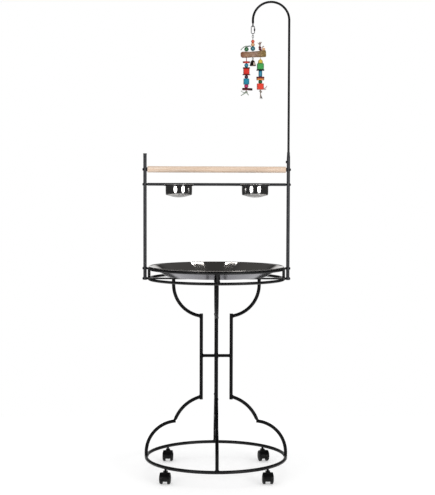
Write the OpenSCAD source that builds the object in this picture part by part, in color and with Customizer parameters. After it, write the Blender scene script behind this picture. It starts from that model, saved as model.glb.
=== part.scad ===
// A free-standing perch for a large parrot, on casters, with a tray, two cups and a hanging toy.
// Millimetres. +Z is up, +X is to the right, -Y is the front, and the floor is z = 0 under the middle.

/* [Base] */
// Centre-line radius of the base hoop
base_r = 247; // [225:1:270]
// Rod of the base hoop
base_rod_d = 12; // [11:0.5:14]
// Height of the base hoop's centre-line
base_z = 53.5; // [53:0.5:62]

/* [Legs] */
// Rod of the legs
leg_rod_d = 12; // [10:0.5:13]
// Radius of the circle on which the straight stems stand
stem_r = 53; // [45:1:65]
// Radius where the two dome arcs cross in a corner
corner_r = 147; // [138:1:156]
// Height of that corner
corner_z = 180; // [172:1:188]
// Bend radius of the outer dome arc
outer_arc_r = 113.2; // [104:0.2:125]
// Bend radius of the inner dome arc
inner_arc_r = 133.8; // [120:0.2:150]
// Length of the outer arc's end that runs on past the corner
corner_lap = 4; // [0:0.5:8]
// Height where the inner dome arc meets the stem
dome_top_z = 266; // [256:1:276]
// Bend radius of the bowl arc under the tray
bowl_arc_r = 112.4; // [104:0.2:120]
// Height where the bowl arc turns vertical
bowl_top_z = 666; // [650:1:672]
// Radius at which the legs' tops stand
leg_top_r = 151; // [144:1:158]
// Length of the stem's ends past the middle of the arcs' ends
stem_end = 8; // [7:0.5:10]
// Height of the tie between the stems
tie_z = 414; // [330:1:480]
// Rod of the tie
tie_rod_d = 11; // [8:0.5:11.5]

/* [Tray frame] */
// Centre-line radius of the two tray hoops
hoop_r = 237.5; // [220:0.5:262]
// Rod of the tray hoops
hoop_rod_d = 10; // [9:0.5:10.5]
// Height of the lower hoop's centre-line
low_hoop_z = 688; // [687:0.5:692]
// Height of the upper hoop's centre-line
top_hoop_z = 724; // [722:0.5:740]
// Rod of the struts between the hoops
strut_d = 10; // [6:0.5:10]
// Width of the flat cross bars
cross_bar_w = 20; // [16:1:30]
// Thickness of the flat cross bars
cross_bar_t = 5; // [4:0.5:7]
// Thread of the screws that hold the legs' tops
leg_screw_d = 6; // [4:0.5:6]
// Depth of the tapped hole in a leg's top
leg_screw_depth = 18; // [10:1:20]

/* [Tray] */
// Distance that the tray's rolled rim reaches past the hoops' centre-line
tray_rim_lap = 2; // [1:0.2:5]
// Radius of the tray's flat floor
tray_floor_r = 172; // [150:1:190]
// Depth of the tray from its rim flange to its underside
tray_depth = 33; // [20:1:34]
// Sheet thickness of the tray
tray_sheet = 1; // [0.8:0.1:1.5]
// Diameter of the tray's rolled rim
tray_bead_d = 3.2; // [2.4:0.1:4]
// Inner bend radius between the tray's floor and wall
tray_bend_r = 10; // [4:1:16]

/* [Uprights] */
// Gap between the tray hoops and the uprights, filled by the spacers
upright_gap = 3.5; // [2.5:0.5:7.5]
// Outer diameter of the uprights
upright_d = 12; // [11:0.5:13]
// Wall of the uprights
upright_wall = 1.2; // [1:0.1:1.5]
// Height of the uprights' lower ends
upright_low_z = 683; // [678:0.5:685]
// Height of the left upright's upper end
left_upright_z = 1125; // [1100:1:1150]
// Thickness of the plug's cap on the left upright
plug_cap_t = 3; // [2:0.5:5]
// Height of the right upright's necked end
right_upright_z = 1133; // [1125:1:1150]
// Length of the taper and neck at the right upright's end
neck_len = 18; // [14:1:22]

/* [Perch and crossbar] */
// Diameter of the wooden perch
perch_d = 22; // [18:0.5:24]
// Height of the perch's axis
perch_z = 1072; // [1065:1:1080]
// Diameter of the crossbar that carries the cups
crossbar_d = 10; // [8:0.5:12]
// Height of the crossbar's axis
crossbar_z = 1019.5; // [1017:0.5:1025]
// Gap between each upright and the ends of the perch and crossbar
bar_end_gap = 3; // [1.5:0.5:5]
// Thread of the perch screws
perch_screw_d = 6; // [5:0.5:6]
// Thread of the crossbar screws and of the hoop bolts
small_screw_d = 5; // [4:0.5:5]
// Length of thread inside the perch's end
perch_screw_len = 32; // [20:1:45]
// Length of thread inside the crossbar's end
crossbar_screw_len = 20; // [12:1:30]
// Diameter of the bolts' domed heads
bolt_head_d = 9; // [8:0.5:10]
// Height of the bolts' domed heads
bolt_head_h = 3.2; // [2.5:0.1:4]

/* [Cups] */
// Distance from the middle to each cup's axis
cup_x = 132; // [110:1:160]
// Distance that the cups' axes stand in front of the crossbar
cup_y = 63; // [63:0.5:70]
// Outer diameter of a cup's wall
cup_d = 93; // [88:0.5:94]
// Outer diameter of a cup's rolled rim
cup_rim_d = 101; // [99:0.5:101]
// Height of a cup's straight wall
cup_wall_h = 30; // [22:1:40]
// Depth of a cup's domed bottom below its wall
cup_dome_h = 14; // [8:1:20]
// Sheet thickness of a cup
cup_sheet = 0.8; // [0.6:0.1:1.2]
// Diameter of a cup's rolled rim
cup_bead_d = 2.4; // [1.8:0.1:3]
// Rod of the cup holder rings
ring_rod_d = 4; // [3:0.5:5]
// Inner diameter of the cup holder rings
ring_inner_d = 95; // [95:0.5:96]
// Distance of the holder rings' centre-line below the crossbar's axis
ring_drop = 3.5; // [2.5:0.5:5]
// Width of the plate between a holder ring and the crossbar
ring_plate_w = 18; // [12:1:30]

/* [Toy hook] */
// Rod of the hook
hook_rod_d = 8; // [7:0.2:8.4]
// Centre-line radius of the hook's bend
hook_bend_r = 63.5; // [55:0.5:75]
// Height of the bend's middle
hook_bend_z = 1593; // [1587:1:1631]
// Height of the middle of the eye in the hook's tip
hook_eye_z = 1574.5; // [1569:0.5:1575]
// Diameter of the eye
hook_eye_d = 5.5; // [5.2:0.1:6.5]
// Thickness of the flattened tip
hook_tip_t = 4; // [2.5:0.1:4]
// Width of the flattened tip
hook_tip_w = 12; // [11:0.5:14]
// Height of the hook's set screw
set_screw_z = 1099; // [1090:1:1108]
// Thread of the set screw
set_screw_d = 5; // [4:0.5:6]

/* [Casters] */
// Diameter of the caster wheels
wheel_d = 38; // [34:0.5:38.5]
// Width of one caster wheel
wheel_w = 11.9; // [9:0.1:13]
// Width of the housing's web between the two wheels
web_w = 15.6; // [12:0.2:18]
// Distance that the axle trails behind the stem
trail = 14; // [11:0.5:16]
// Thickness of the hood over the wheels
hood_t = 1.6; // [1.2:0.1:2.5]
// Width of the hood over the wheels
hood_w = 35; // [28:0.5:39]
// Fall of the hood's roof from its middle to its edges
hood_crown = 1.4; // [0.4:0.2:2.4]
// Diameter of the caster axles
axle_d = 5; // [4:0.5:6]
// Diameter of the caster stems
stem_d = 8; // [7:0.5:9]
// Thread of the stems' upper ends
stem_thread_d = 6; // [4:0.5:6]
// Turn of the front left caster from straight
front_left_yaw = -5; // [-180:1:180]
// Turn of the front right caster from straight
front_right_yaw = 0; // [-180:1:180]
// Turn of the back left caster from straight
back_left_yaw = 0; // [-180:1:180]
// Turn of the back right caster from straight
back_right_yaw = 12; // [-180:1:180]

/* [Toy hanger] */
// Wire of the quick link
link_wire_d = 2.5; // [2:0.1:2.8]
// Centre-line radius of the quick link's ends
link_end_r = 5.75; // [5.5:0.05:7]
// Length of the quick link's straight sides
link_side = 16.5; // [12:0.5:26]
// Diameter of the quick link's nut
link_nut_d = 5; // [4.4:0.1:6]
// Length of the quick link's nut
link_nut_len = 8; // [5:0.5:10]
// Wire of the small chain links and of the hanger
wire_d = 1.6; // [1.2:0.1:1.8]
// Centre-line radius of the small chain links' ends
chain_end_r = 2.6; // [2.5:0.1:3]
// Length of the small chain links' straight sides
chain_side = 4; // [3:0.5:6]
// Length of the bare hanger wire between its eye and the top bead
bare_wire = 4; // [2:0.5:8]

/* [Log and strands] */
// Length of the log
log_len = 87.5; // [76:0.5:110]
// Diameter of the log's left end
log_left_d = 20; // [18:0.5:26]
// Diameter of the log's right end
log_right_d = 24; // [20:0.5:30]
// Distance of the log's middle to the right of the hanger
log_shift = 2; // [0:0.5:5]
// Tilt of the log, right end up
log_tilt = 3; // [0:0.5:6]
// Distance from the hanger to the left strand
left_strand_x = 22.2; // [20:0.1:24]
// Distance from the hanger to the right strand
right_strand_x = 26.8; // [25:0.1:30]
// Cord of the strands
cord_d = 3; // [2:0.1:3.4]
// Length of bare cord above the left strand's top piece
left_drop = 13; // [8:0.5:20]
// Length of bare cord above the right strand's top piece
right_drop = 7; // [4:0.5:12]
// Diameter of the cord's end knots
knot_d = 9; // [7:0.5:12]
// Length of the cord tails below the knots
tail_len = 16; // [10:0.5:24]

/* [Bell] */
// Diameter of the bell's mouth
bell_d = 23; // [16:0.5:24]
// Height of the bell's shell
bell_h = 20; // [16:0.5:24]
// Wall of the bell
bell_wall = 0.9; // [0.7:0.1:1.5]
// Diameter of the clapper's ball
clapper_d = 5; // [4:0.5:6]

/* [Clearances] */
// Gap between two welded rods, measured square to the coped face
weld_gap = 0.15; // [0.1:0.05:0.3]
// Gap between pieces that lift off or swing and what carries them
rest_gap = 0.3; // [0.2:0.05:0.5]
// Radial running clearance of turning pieces
run_gap = 0.05; // [0.03:0.01:0.08]
// Radial clearance of screws in plain holes
hole_gap = 0.15; // [0.1:0.05:0.25]
// Gap between a caster wheel and the housing
wheel_gap = 0.6; // [0.4:0.1:1]
// Gap between the beads and blocks that are threaded one on another
stack_gap = 0.3; // [0.1:0.05:0.6]

/* [Hidden] */
$fn = 64;

// How far a cutting shape runs past the face that it cuts
cut = 1;

// Radial plane of the legs
stem_side_r = stem_r + leg_rod_d / 2;
bowl_centre = [leg_top_r - bowl_arc_r, bowl_top_z];
bowl_low_z = bowl_top_z - sqrt(pow(bowl_arc_r, 2) - pow(stem_side_r - bowl_centre.x, 2));
leg_top_z = low_hoop_z - cross_bar_t / 2;

// Tray profile
top_hoop_crown = top_hoop_z + hoop_rod_d / 2;
tray_flange_z = top_hoop_crown + rest_gap;
tray_floor_z = tray_flange_z - tray_depth;
tray_rim_r = hoop_r + tray_rim_lap;
tray_flange_r = tray_rim_r - tray_bead_d - 4;

// Bars between the uprights
upright_x = hoop_r + hoop_rod_d / 2 + upright_gap + upright_d / 2;
inner_face_x = upright_x - upright_d / 2;
outer_face_x = upright_x + upright_d / 2;
bar_half = inner_face_x - bar_end_gap;
upright_bore_d = upright_d - 2 * upright_wall;

// Cups
ring_r = (ring_inner_d + ring_rod_d) / 2;
ring_z = crossbar_z - ring_drop;
cup_rim_z = ring_z + ring_rod_d / 2 + rest_gap;

// Casters, whose stems stand in the base hoop halfway between the legs
caster_xy = base_r * cos(45);
corners = [[-1, -1], [1, -1], [-1, 1], [1, 1]];
corner_yaw = [front_left_yaw, front_right_yaw, back_left_yaw, back_right_yaw];
corner_name = ["front_left_caster", "front_right_caster", "back_left_caster", "back_right_caster"];
hood_r = wheel_d / 2 + wheel_gap + hood_t + 0.4 * hood_crown;
wheel_in_x = web_w / 2 + wheel_gap;
axle_half = wheel_in_x + wheel_w * 0.7;
stem_low_z = wheel_d / 2 + 4;
stem_seat_z = base_z - sqrt(pow(base_rod_d / 2, 2) - pow(stem_d / 2, 2)) + 0.1;
stem_top_z = base_z + base_rod_d / 2 - 2;

// Toy hook and hanger
hook_x = upright_x - 2 * hook_bend_r;
hook_foot_z = perch_z + perch_screw_d / 2 + rest_gap;
neck_bore_d = hook_rod_d + 2 * run_gap;
link_top_z = hook_eye_z - hook_eye_d / 2 + link_wire_d / 2 + 2 * rest_gap;
link_high_z = link_top_z - link_end_r;
link_low_z = link_high_z - link_side;
link_bottom_z = link_low_z - link_end_r;
chain_pitch = chain_side + 2 * chain_end_r;
chain_lap = wire_d + rest_gap;
chain_1_top = link_bottom_z + (link_wire_d + wire_d) / 2 + rest_gap;
chain_2_top = chain_1_top - chain_pitch + chain_lap;
eye_r = 2.4;
neck_rise = 0.3;
eye_z = chain_2_top - chain_pitch + chain_lap - eye_r;

// Beads on the hanger from the top: form, diameter, height and colour
hanger_beads = [
    ["bead", 12, 11, "#d84a2c"],
    ["bead", 13, 11.4, "#d9955c"],
    ["bead", 16.5, 16, "#1f7f86"],
];
hanger_bead_top = eye_z - eye_r - bare_wire;
log_bead_low = hanger_bead_top - stack_len(hanger_beads, len(hanger_beads));
log_z = log_bead_low - log_top_at(0) - rest_gap;
lace_bead = [15.5, 14];

// Strand pieces from the top: form, width along X, height, depth along Y and colour
left_stack = [
    ["slat", 23, 7, 14, "#c8382c"],
    ["bead", 14, 14, 14, "#1f8199"],
    ["slat", 25, 4.7, 16, "#1d1d22"],
    ["block", 21.5, 19.3, 21.5, "#d6291e"],
    ["slat", 27.6, 3.2, 18, "#7c1a1c"],
    ["bead", 13, 12, 13, "#4a1f3d"],
    ["block", 20, 20.4, 20, "#1b7fa0"],
    ["bead", 15, 11.4, 15, "#b12460"],
    ["stick", 36, 10, 10, "#4b1420"],
];
right_stack = [
    ["dome", 17, 15, 17, "#dcc24a"],
    ["block", 24, 20.6, 24, "#3f9a52"],
    ["slat", 28, 4.3, 20, "#14241c"],
    ["bead", 13, 21.2, 13, "#1d86a3"],
    ["slat", 28, 6, 20, "#8c1f1c"],
    ["slat", 27, 6, 20, "#e08a4a"],
    ["bead", 14, 11.7, 14, "#2c8d4e"],
    ["block", 24, 21, 24, "#d8352a"],
];
left_top_z = log_z - log_low_at(-left_strand_x);
right_top_z = log_z - log_low_at(right_strand_x);
left_end_z = left_top_z - left_drop - stack_len(left_stack, len(left_stack));
right_end_z = right_top_z - right_drop - stack_len(right_stack, len(right_stack));

// Bell under the log's middle
low_eye_z = log_z - log_low_at(0) - 2.5 - eye_r;
bell_loop_r = 2.2;
bell_loop_z = low_eye_z - eye_r + wire_d + rest_gap - bell_loop_r;
bell_top_z = bell_loop_z - bell_loop_r;
bell_low_z = bell_top_z - bell_h;

// Centre of the circle of radius r through p and q, on the left of the line from p to q
function arc_centre(p, q, r) =
    let (half = norm(q - p) / 2, u = (q - p) / norm(q - p))
    (p + q) / 2 + sqrt(r * r - half * half) * [-u.y, u.x];
function angle_of(v) = atan2(v.y, v.x);

// Points of an arc about c from angle a to angle b
function arc_points(c, r, a, b, steps) =
    [for (i = [0:steps]) let (t = a + (b - a) * i / steps) c + r * [cos(t), sin(t)]];

// Radius of the log, and its top and underside from its middle height, at a distance from the hanger
function log_r_at(x) =
    let (t = ((x - log_shift) / log_len) + 0.5)
    (log_left_d * (1 - t) + log_right_d * t) / 2;
function log_axis_at(x) = (x - log_shift) * tan(log_tilt);
function log_top_at(x) = log_axis_at(x) + log_r_at(x) / cos(log_tilt);
function log_low_at(x) = log_r_at(x) / cos(log_tilt) - log_axis_at(x);

// Summed height of a stack's first pieces
function stack_len(stack, n) = n == 0 ? 0 : stack[n - 1][2] + stack_len(stack, n - 1);

// Hoop of round rod lying flat
module hoop(r, d, z) {
    translate([0, 0, z])
        rotate_extrude($fn = 180)
            translate([r, 0])
                circle(d = d);
}

// Round rod bent along an arc in the XZ plane, from angle a to angle b about c
module bent_rod(c, r, a, b, d) {
    translate([c.x, 0, c.y])
        rotate([90, 0, 0])
            rotate([0, 0, a])
                rotate_extrude(angle = b - a)
                    translate([r, 0])
                        circle(d = d);
}

// Cylinder along X from x0 to x1 at height z
module x_rod(x0, x1, z, d) {
    translate([x0, 0, z])
        rotate([0, 90, 0])
            cylinder(h = x1 - x0, d = d);
}

// Link with round ends in the XZ plane, hanging down from the centre-line of its top
module wire_link(top_z, end_r, side, d) {
    high = top_z - end_r;
    low = high - side;
    bent_rod([0, high], end_r, 0, 180, d);
    bent_rod([0, low], end_r, 180, 360, d);
    for (s = [-1, 1])
        translate([s * end_r, 0, low])
            cylinder(h = side, d = d);
}

// Screw along -X: its head's underside at x = 0, its shank to x = -len
module domed_screw(d, len, head_d, head_h) {
    rotate([0, 90, 0])
        rotate_extrude()
            intersection() {
                polygon([
                    [0, -len], [d / 2 - 0.4, -len], [d / 2, -len + 0.4], [d / 2, 0],
                    [head_d / 2, 0], [head_d / 2, 0.8],
                    for (p = arc_points([0, 0], 1, 10, 80, 7)) [p.x * head_d / 2, 0.8 + p.y * (head_h - 0.8)],
                    [0, head_h],
                ]);
                translate([0, -len])
                    square([head_d, len + head_h]);
            }
}

module base_ring() {
    color("#2b2b2e")
        difference() {
            hoop(base_r, base_rod_d, base_z);
            for (c = corners)
                translate([c.x * caster_xy, c.y * caster_xy, 0]) {
                    translate([0, 0, base_z - base_rod_d])
                        cylinder(h = stem_seat_z - base_z + base_rod_d, d = stem_d + 2 * hole_gap);
                    translate([0, 0, base_z - base_rod_d])
                        cylinder(h = stem_top_z - base_z + base_rod_d + 0.5, d = stem_thread_d);
                }
        }
}

// Leg in the XZ plane, on the +X side: an outer arc, an inner arc coped round it, the stem, and the bowl arc
module leg() {
    foot = [base_r, base_z];
    corner = [corner_r, corner_z];
    joint = [stem_side_r, dome_top_z];
    outer = arc_centre(foot, corner, outer_arc_r);
    inner = arc_centre(corner, joint, inner_arc_r);
    foot_a = angle_of(foot - outer);
    corner_a = angle_of(corner - outer);
    degrees_a_mm = 180 / PI / outer_arc_r;
    cope_d = leg_rod_d + 2 * weld_gap;
    inner_end = acos((stem_r - inner.x) / inner_arc_r);
    bowl_start = -acos((stem_r - bowl_centre.x) / bowl_arc_r);
    color("#202023")
        difference() {
            union() {
                bent_rod(outer, outer_arc_r, foot_a, corner_a + corner_lap * degrees_a_mm, leg_rod_d);
                difference() {
                    bent_rod(inner, inner_arc_r, angle_of(corner - inner), inner_end, leg_rod_d);
                    bent_rod(outer, outer_arc_r, foot_a, corner_a + 2 * leg_rod_d * degrees_a_mm, cope_d);
                    leg_stem(weld_gap);
                }
                leg_stem(0);
                difference() {
                    union() {
                        bent_rod(bowl_centre, bowl_arc_r, 0, bowl_start, leg_rod_d);
                        translate([leg_top_r, 0, bowl_top_z])
                            cylinder(h = leg_top_z - bowl_top_z, d = leg_rod_d);
                    }
                    leg_stem(weld_gap);
                }
            }
            hoop(base_r, base_rod_d + 2 * weld_gap, base_z);
            translate([leg_top_r, 0, leg_top_z - leg_screw_depth])
                cylinder(h = leg_screw_depth + cut, d = leg_screw_d);
        }
}

// Straight rod of a leg, grown all round by a gap where it is used as a cutter
module leg_stem(gap) {
    translate([stem_r, 0, dome_top_z - stem_end - gap])
        cylinder(h = bowl_low_z - dome_top_z + 2 * (stem_end + gap), d = leg_rod_d + 2 * gap);
}

module leg_at(angle) {
    rotate([0, 0, angle])
        leg();
}

module leg_cross_tie() {
    color("#202023")
        difference() {
            for (a = [0, 90])
                rotate([0, 0, a])
                    x_rod(-stem_r, stem_r, tie_z, tie_rod_d);
            for (a = [0, 90, 180, 270])
                rotate([0, 0, a])
                    translate([stem_r, 0, tie_z - tie_rod_d])
                        cylinder(h = 2 * tie_rod_d, d = leg_rod_d + 2 * weld_gap);
        }
}

// Tray hoop, tapped on both sides for the bolts of the uprights
module tray_ring(z) {
    color("#1c1c1f")
        difference() {
            hoop(hoop_r, hoop_rod_d, z);
            for (s = [-1, 1])
                translate([s * hoop_r, 0, 0])
                    x_rod(-hoop_rod_d, hoop_rod_d, z, small_screw_d);
        }
}

module ring_struts() {
    color("#1c1c1f")
        difference() {
            for (a = [0, 90, 180, 270])
                rotate([0, 0, a])
                    translate([hoop_r, 0, low_hoop_z])
                        cylinder(h = top_hoop_z - low_hoop_z, d = strut_d);
            hoop(hoop_r, hoop_rod_d + 2 * weld_gap, low_hoop_z);
            hoop(hoop_r, hoop_rod_d + 2 * weld_gap, top_hoop_z);
        }
}

module tray_cross_bars() {
    color("#202023")
        difference() {
            for (a = [0, 90])
                rotate([0, 0, a])
                    translate([-hoop_r, -cross_bar_w / 2, leg_top_z])
                        cube([2 * hoop_r, cross_bar_w, cross_bar_t]);
            hoop(hoop_r, hoop_rod_d + 2 * weld_gap, low_hoop_z);
            for (a = [0, 90, 180, 270])
                rotate([0, 0, a]) {
                    translate([hoop_r, -cross_bar_w, leg_top_z - cut])
                        cube([hoop_rod_d, 2 * cross_bar_w, cross_bar_t + 2 * cut]);
                    translate([leg_top_r, 0, leg_top_z - cut])
                        cylinder(h = cross_bar_t + 2 * cut, d = leg_screw_d + 2 * hole_gap);
                }
        }
}

module leg_top_screws() {
    color("#8d8f92")
        for (a = [0, 90, 180, 270])
            rotate([0, 0, a])
                translate([leg_top_r, 0, leg_top_z + cross_bar_t])
                    rotate([0, -90, 0])
                        domed_screw(leg_screw_d - 2 * run_gap, cross_bar_t + leg_screw_depth - 2, 10.5, 2.8);
}

module tray() {
    // The wall leaves the floor's bend at the angle that brings it to the flange
    bend_c = [tray_floor_r, tray_floor_z + tray_sheet + tray_bend_r];
    top_in = [tray_flange_r, tray_flange_z + tray_sheet];
    reach = top_in - bend_c;
    wall_a = angle_of(reach) + asin(tray_bend_r / norm(reach));
    out_r = tray_bend_r + tray_sheet;
    bead_c = [tray_rim_r - tray_bead_d / 2, tray_flange_z + tray_bead_d / 2];
    color("#5c5d60")
        rotate_extrude() {
            polygon([
                [0, tray_floor_z], for (p = arc_points(bend_c, out_r, -90, wall_a - 90, 6)) p,
                top_in + tray_sheet * [sin(wall_a), -cos(wall_a)],
                [tray_flange_r + tray_sheet, tray_flange_z], [bead_c.x, tray_flange_z],
                [bead_c.x, tray_flange_z + tray_sheet], top_in,
                for (p = arc_points(bend_c, tray_bend_r, wall_a - 90, -90, 6)) p,
                [0, tray_floor_z + tray_sheet],
            ]);
            translate(bead_c)
                circle(d = tray_bead_d, $fn = 24);
        }
}

// Holes across an upright for the bolts that every upright has
module upright_holes() {
    for (z = [low_hoop_z, top_hoop_z, crossbar_z])
        x_rod(-upright_d, upright_d, z, small_screw_d + 2 * hole_gap);
    x_rod(-upright_d, upright_d, perch_z, perch_screw_d + 2 * hole_gap);
}

module left_upright() {
    color("#34353a")
        translate([-upright_x, 0, 0])
            difference() {
                translate([0, 0, upright_low_z])
                    cylinder(h = left_upright_z - upright_low_z, d = upright_d);
                translate([0, 0, upright_low_z - cut])
                    cylinder(h = left_upright_z - upright_low_z + 2 * cut, d = upright_bore_d);
                upright_holes();
            }
}

module right_upright() {
    shoulder_z = right_upright_z - neck_len;
    neck_z = right_upright_z - neck_len / 2;
    neck_d = hook_rod_d + 2.2;
    color("#34353a")
        translate([upright_x, 0, 0])
            difference() {
                rotate_extrude()
                    polygon([
                        [upright_bore_d / 2, upright_low_z], [upright_d / 2, upright_low_z],
                        [upright_d / 2, shoulder_z], [neck_d / 2, neck_z], [neck_d / 2, right_upright_z],
                        [neck_bore_d / 2, right_upright_z], [neck_bore_d / 2, neck_z],
                        [upright_bore_d / 2, shoulder_z],
                    ]);
                upright_holes();
                x_rod(-upright_d, 0, set_screw_z, set_screw_d + 2 * run_gap);
            }
}

module left_upright_plug() {
    spigot_d = upright_bore_d - 2 * run_gap;
    color("#1a1a1c")
        translate([-upright_x, 0, left_upright_z])
            rotate_extrude()
                polygon([
                    [0, -12], [spigot_d / 2 - 0.8, -12], [spigot_d / 2, -11], [spigot_d / 2, 0],
                    [upright_d / 2 + 0.8, 0], [upright_d / 2 + 0.8, plug_cap_t - 1],
                    [upright_d / 2 - 0.4, plug_cap_t], [0, plug_cap_t],
                ]);
}

// Puts what stands at the right upright's outer face on both uprights
module on_both_uprights(z) {
    for (s = [0, 180])
        rotate([0, 0, s])
            translate([outer_face_x, 0, z])
                children();
}

module ring_bolts() {
    len = outer_face_x - hoop_r + hoop_rod_d / 2 - 0.5;
    color("#232326")
        for (z = [low_hoop_z, top_hoop_z])
            on_both_uprights(z)
                domed_screw(small_screw_d - 2 * run_gap, len, bolt_head_d, bolt_head_h);
}

// Sleeves round the bolts between the hoops and the uprights, saddled to the uprights
module ring_bolt_spacers() {
    color("#1a1a1c")
        for (s = [0, 180], z = [low_hoop_z, top_hoop_z])
            rotate([0, 0, s])
                difference() {
                    x_rod(hoop_r + hoop_rod_d / 2, upright_x - upright_d / 4, z, bolt_head_d - 0.5);
                    translate([upright_x, 0, z - bolt_head_d])
                        cylinder(h = 2 * bolt_head_d, d = upright_d + 2 * weld_gap);
                    x_rod(hoop_r - cut, upright_x + cut, z, small_screw_d + 2 * hole_gap);
                }
}

module perch() {
    color("#e4cba6")
        difference() {
            x_rod(-bar_half, bar_half, perch_z, perch_d);
            for (s = [0, 180])
                rotate([0, 0, s])
                    x_rod(bar_half - perch_screw_len, bar_half + cut, perch_z, perch_screw_d);
        }
}

module perch_screws() {
    color("#232326")
        on_both_uprights(perch_z)
            domed_screw(perch_screw_d - 2 * run_gap, outer_face_x - bar_half + perch_screw_len - 2,
                bolt_head_d + 0.5, bolt_head_h);
}

// Washers between the uprights and a bar's two ends
module end_washers(z, d, bore) {
    difference() {
        for (s = [0, 180])
            rotate([0, 0, s])
                x_rod(bar_half, inner_face_x, z, d);
        x_rod(-upright_x, upright_x, z, bore);
    }
}

module perch_washers() {
    color("#2a2a2c")
        end_washers(perch_z, perch_screw_d + 8, perch_screw_d + 2 * hole_gap);
}

module cup_crossbar() {
    color("#34353a")
        difference() {
            x_rod(-bar_half, bar_half, crossbar_z, crossbar_d);
            for (s = [0, 180])
                rotate([0, 0, s])
                    x_rod(bar_half - crossbar_screw_len, bar_half + cut, crossbar_z, small_screw_d);
        }
}

module crossbar_screws() {
    color("#232326")
        on_both_uprights(crossbar_z)
            domed_screw(small_screw_d - 2 * run_gap, outer_face_x - bar_half + crossbar_screw_len - 2,
                bolt_head_d, bolt_head_h);
}

module crossbar_bushes() {
    color("#2a2a2c")
        end_washers(crossbar_z, small_screw_d + 3.4, small_screw_d + 2 * hole_gap);
}

// Holder ring with the plate that joins it to the crossbar
module cup_ring(x) {
    color("#2b2b2e")
        difference() {
            union() {
                translate([x, -cup_y, 0])
                    hoop(ring_r, ring_rod_d, ring_z);
                translate([x - ring_plate_w / 2, -cup_y + ring_r, ring_z - ring_rod_d / 2])
                    cube([ring_plate_w, cup_y - ring_r, ring_rod_d]);
            }
            x_rod(x - ring_plate_w, x + ring_plate_w, crossbar_z, crossbar_d + 2 * weld_gap);
            translate([x - ring_plate_w, 0, ring_z - ring_rod_d])
                cube([2 * ring_plate_w, crossbar_d, 2 * ring_rod_d]);
        }
}

// Coop cup: rolled rim, straight wall and a domed bottom with a soft knuckle
module cup(x) {
    r = cup_d / 2;
    wall_low = cup_rim_z - cup_wall_h;
    knuckle = 7;
    dome_a = 2 * atan2(cup_dome_h - knuckle / 2, r - knuckle / 2);
    dome_r = (r - knuckle / 2) / sin(dome_a);
    floor_z = wall_low - cup_dome_h;
    dome_c = [0, floor_z + dome_r];
    edge_a = dome_a - 8;
    bead_c = [cup_rim_d / 2 - cup_bead_d / 2, cup_rim_z + cup_bead_d / 2];
    outer = concat(
        arc_points(dome_c, dome_r, -90, edge_a - 90, 8),
        arc_points([r - knuckle, wall_low], knuckle, -50, 0, 5)
    );
    inner = concat(
        arc_points([r - knuckle, wall_low], knuckle - cup_sheet, 0, -50, 5),
        arc_points(dome_c, dome_r - cup_sheet, edge_a - 90, -90, 8)
    );
    color("#8f9092")
        translate([x, -cup_y, 0])
            rotate_extrude() {
                polygon(concat(
                    outer,
                    [[r, cup_rim_z - 1], [r + 1, cup_rim_z], [bead_c.x, cup_rim_z]],
                    [[bead_c.x, cup_rim_z + cup_sheet], [r + 0.4, cup_rim_z + cup_sheet]],
                    [[r - cup_sheet, cup_rim_z - 0.6]],
                    inner
                ));
                translate(bead_c)
                    circle(d = cup_bead_d, $fn = 24);
            }
}

// Hook rod: straight leg, half-circle bend and a flattened, drilled tip
module toy_hook() {
    tip_r = hook_tip_w / 2;
    tip_taper = 3.5;
    taper_z = hook_eye_z + tip_r + tip_taper;
    color("#1f1f22")
        difference() {
            union() {
                translate([upright_x, 0, hook_foot_z])
                    cylinder(h = hook_bend_z - hook_foot_z, d = hook_rod_d);
                bent_rod([upright_x - hook_bend_r, hook_bend_z], hook_bend_r, 0, 180, hook_rod_d);
                translate([hook_x, 0, taper_z])
                    cylinder(h = hook_bend_z - taper_z, d = hook_rod_d);
                translate([hook_x, 0, hook_eye_z + tip_r - 1])
                    cylinder(h = taper_z - hook_eye_z - tip_r + 1, d1 = hook_tip_t, d2 = hook_rod_d);
                translate([hook_x - hook_tip_t / 2, 0, hook_eye_z])
                    rotate([0, 90, 0])
                        linear_extrude(height = hook_tip_t) {
                            circle(r = tip_r);
                            translate([-tip_r, -tip_r * 0.8])
                                square([tip_r, tip_r * 1.6]);
                            polygon([
                                [-tip_r, -tip_r * 0.8], [-tip_r - tip_taper, -hook_rod_d / 2 + 0.6],
                                [-tip_r - tip_taper, hook_rod_d / 2 - 0.6], [-tip_r, tip_r * 0.8],
                            ]);
                        }
            }
            translate([hook_x, 0, 0])
                x_rod(-hook_tip_t, hook_tip_t, hook_eye_z, hook_eye_d);
        }
}

// Screw whose tip stands against the hook's rod, with a low knurled head on the inner side
module hook_set_screw() {
    tip_x = upright_x - hook_rod_d / 2 - 0.1;
    head_x = inner_face_x - rest_gap;
    color("#232326")
        difference() {
            union() {
                x_rod(head_x - 2.8, head_x, set_screw_z, 9);
                x_rod(head_x - cut, tip_x, set_screw_z, set_screw_d);
            }
            for (a = [0:30:330])
                translate([head_x - 3, 0, set_screw_z])
                    rotate([a, 0, 0])
                        translate([0, 0, 4.9])
                            rotate([0, 90, 0])
                                cylinder(h = 2.4, d = 1.4, $fn = 16);
            translate([head_x - 3, 0, set_screw_z])
                rotate([0, 90, 0])
                    cylinder(h = 1.8, d = 3.4, $fn = 6);
        }
}

module caster_stems() {
    color("#3a3b3e")
        for (c = corners)
            translate([c.x * caster_xy, c.y * caster_xy, 0])
                rotate_extrude()
                    polygon([
                        [0, stem_low_z], [stem_d / 2 - 0.8, stem_low_z], [stem_d / 2, stem_low_z + 0.8],
                        [stem_d / 2, stem_seat_z], [stem_thread_d / 2 - run_gap, stem_seat_z],
                        [stem_thread_d / 2 - run_gap, stem_top_z - 0.6],
                        [stem_thread_d / 2 - 0.6, stem_top_z], [0, stem_top_z],
                    ]);
}

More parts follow.
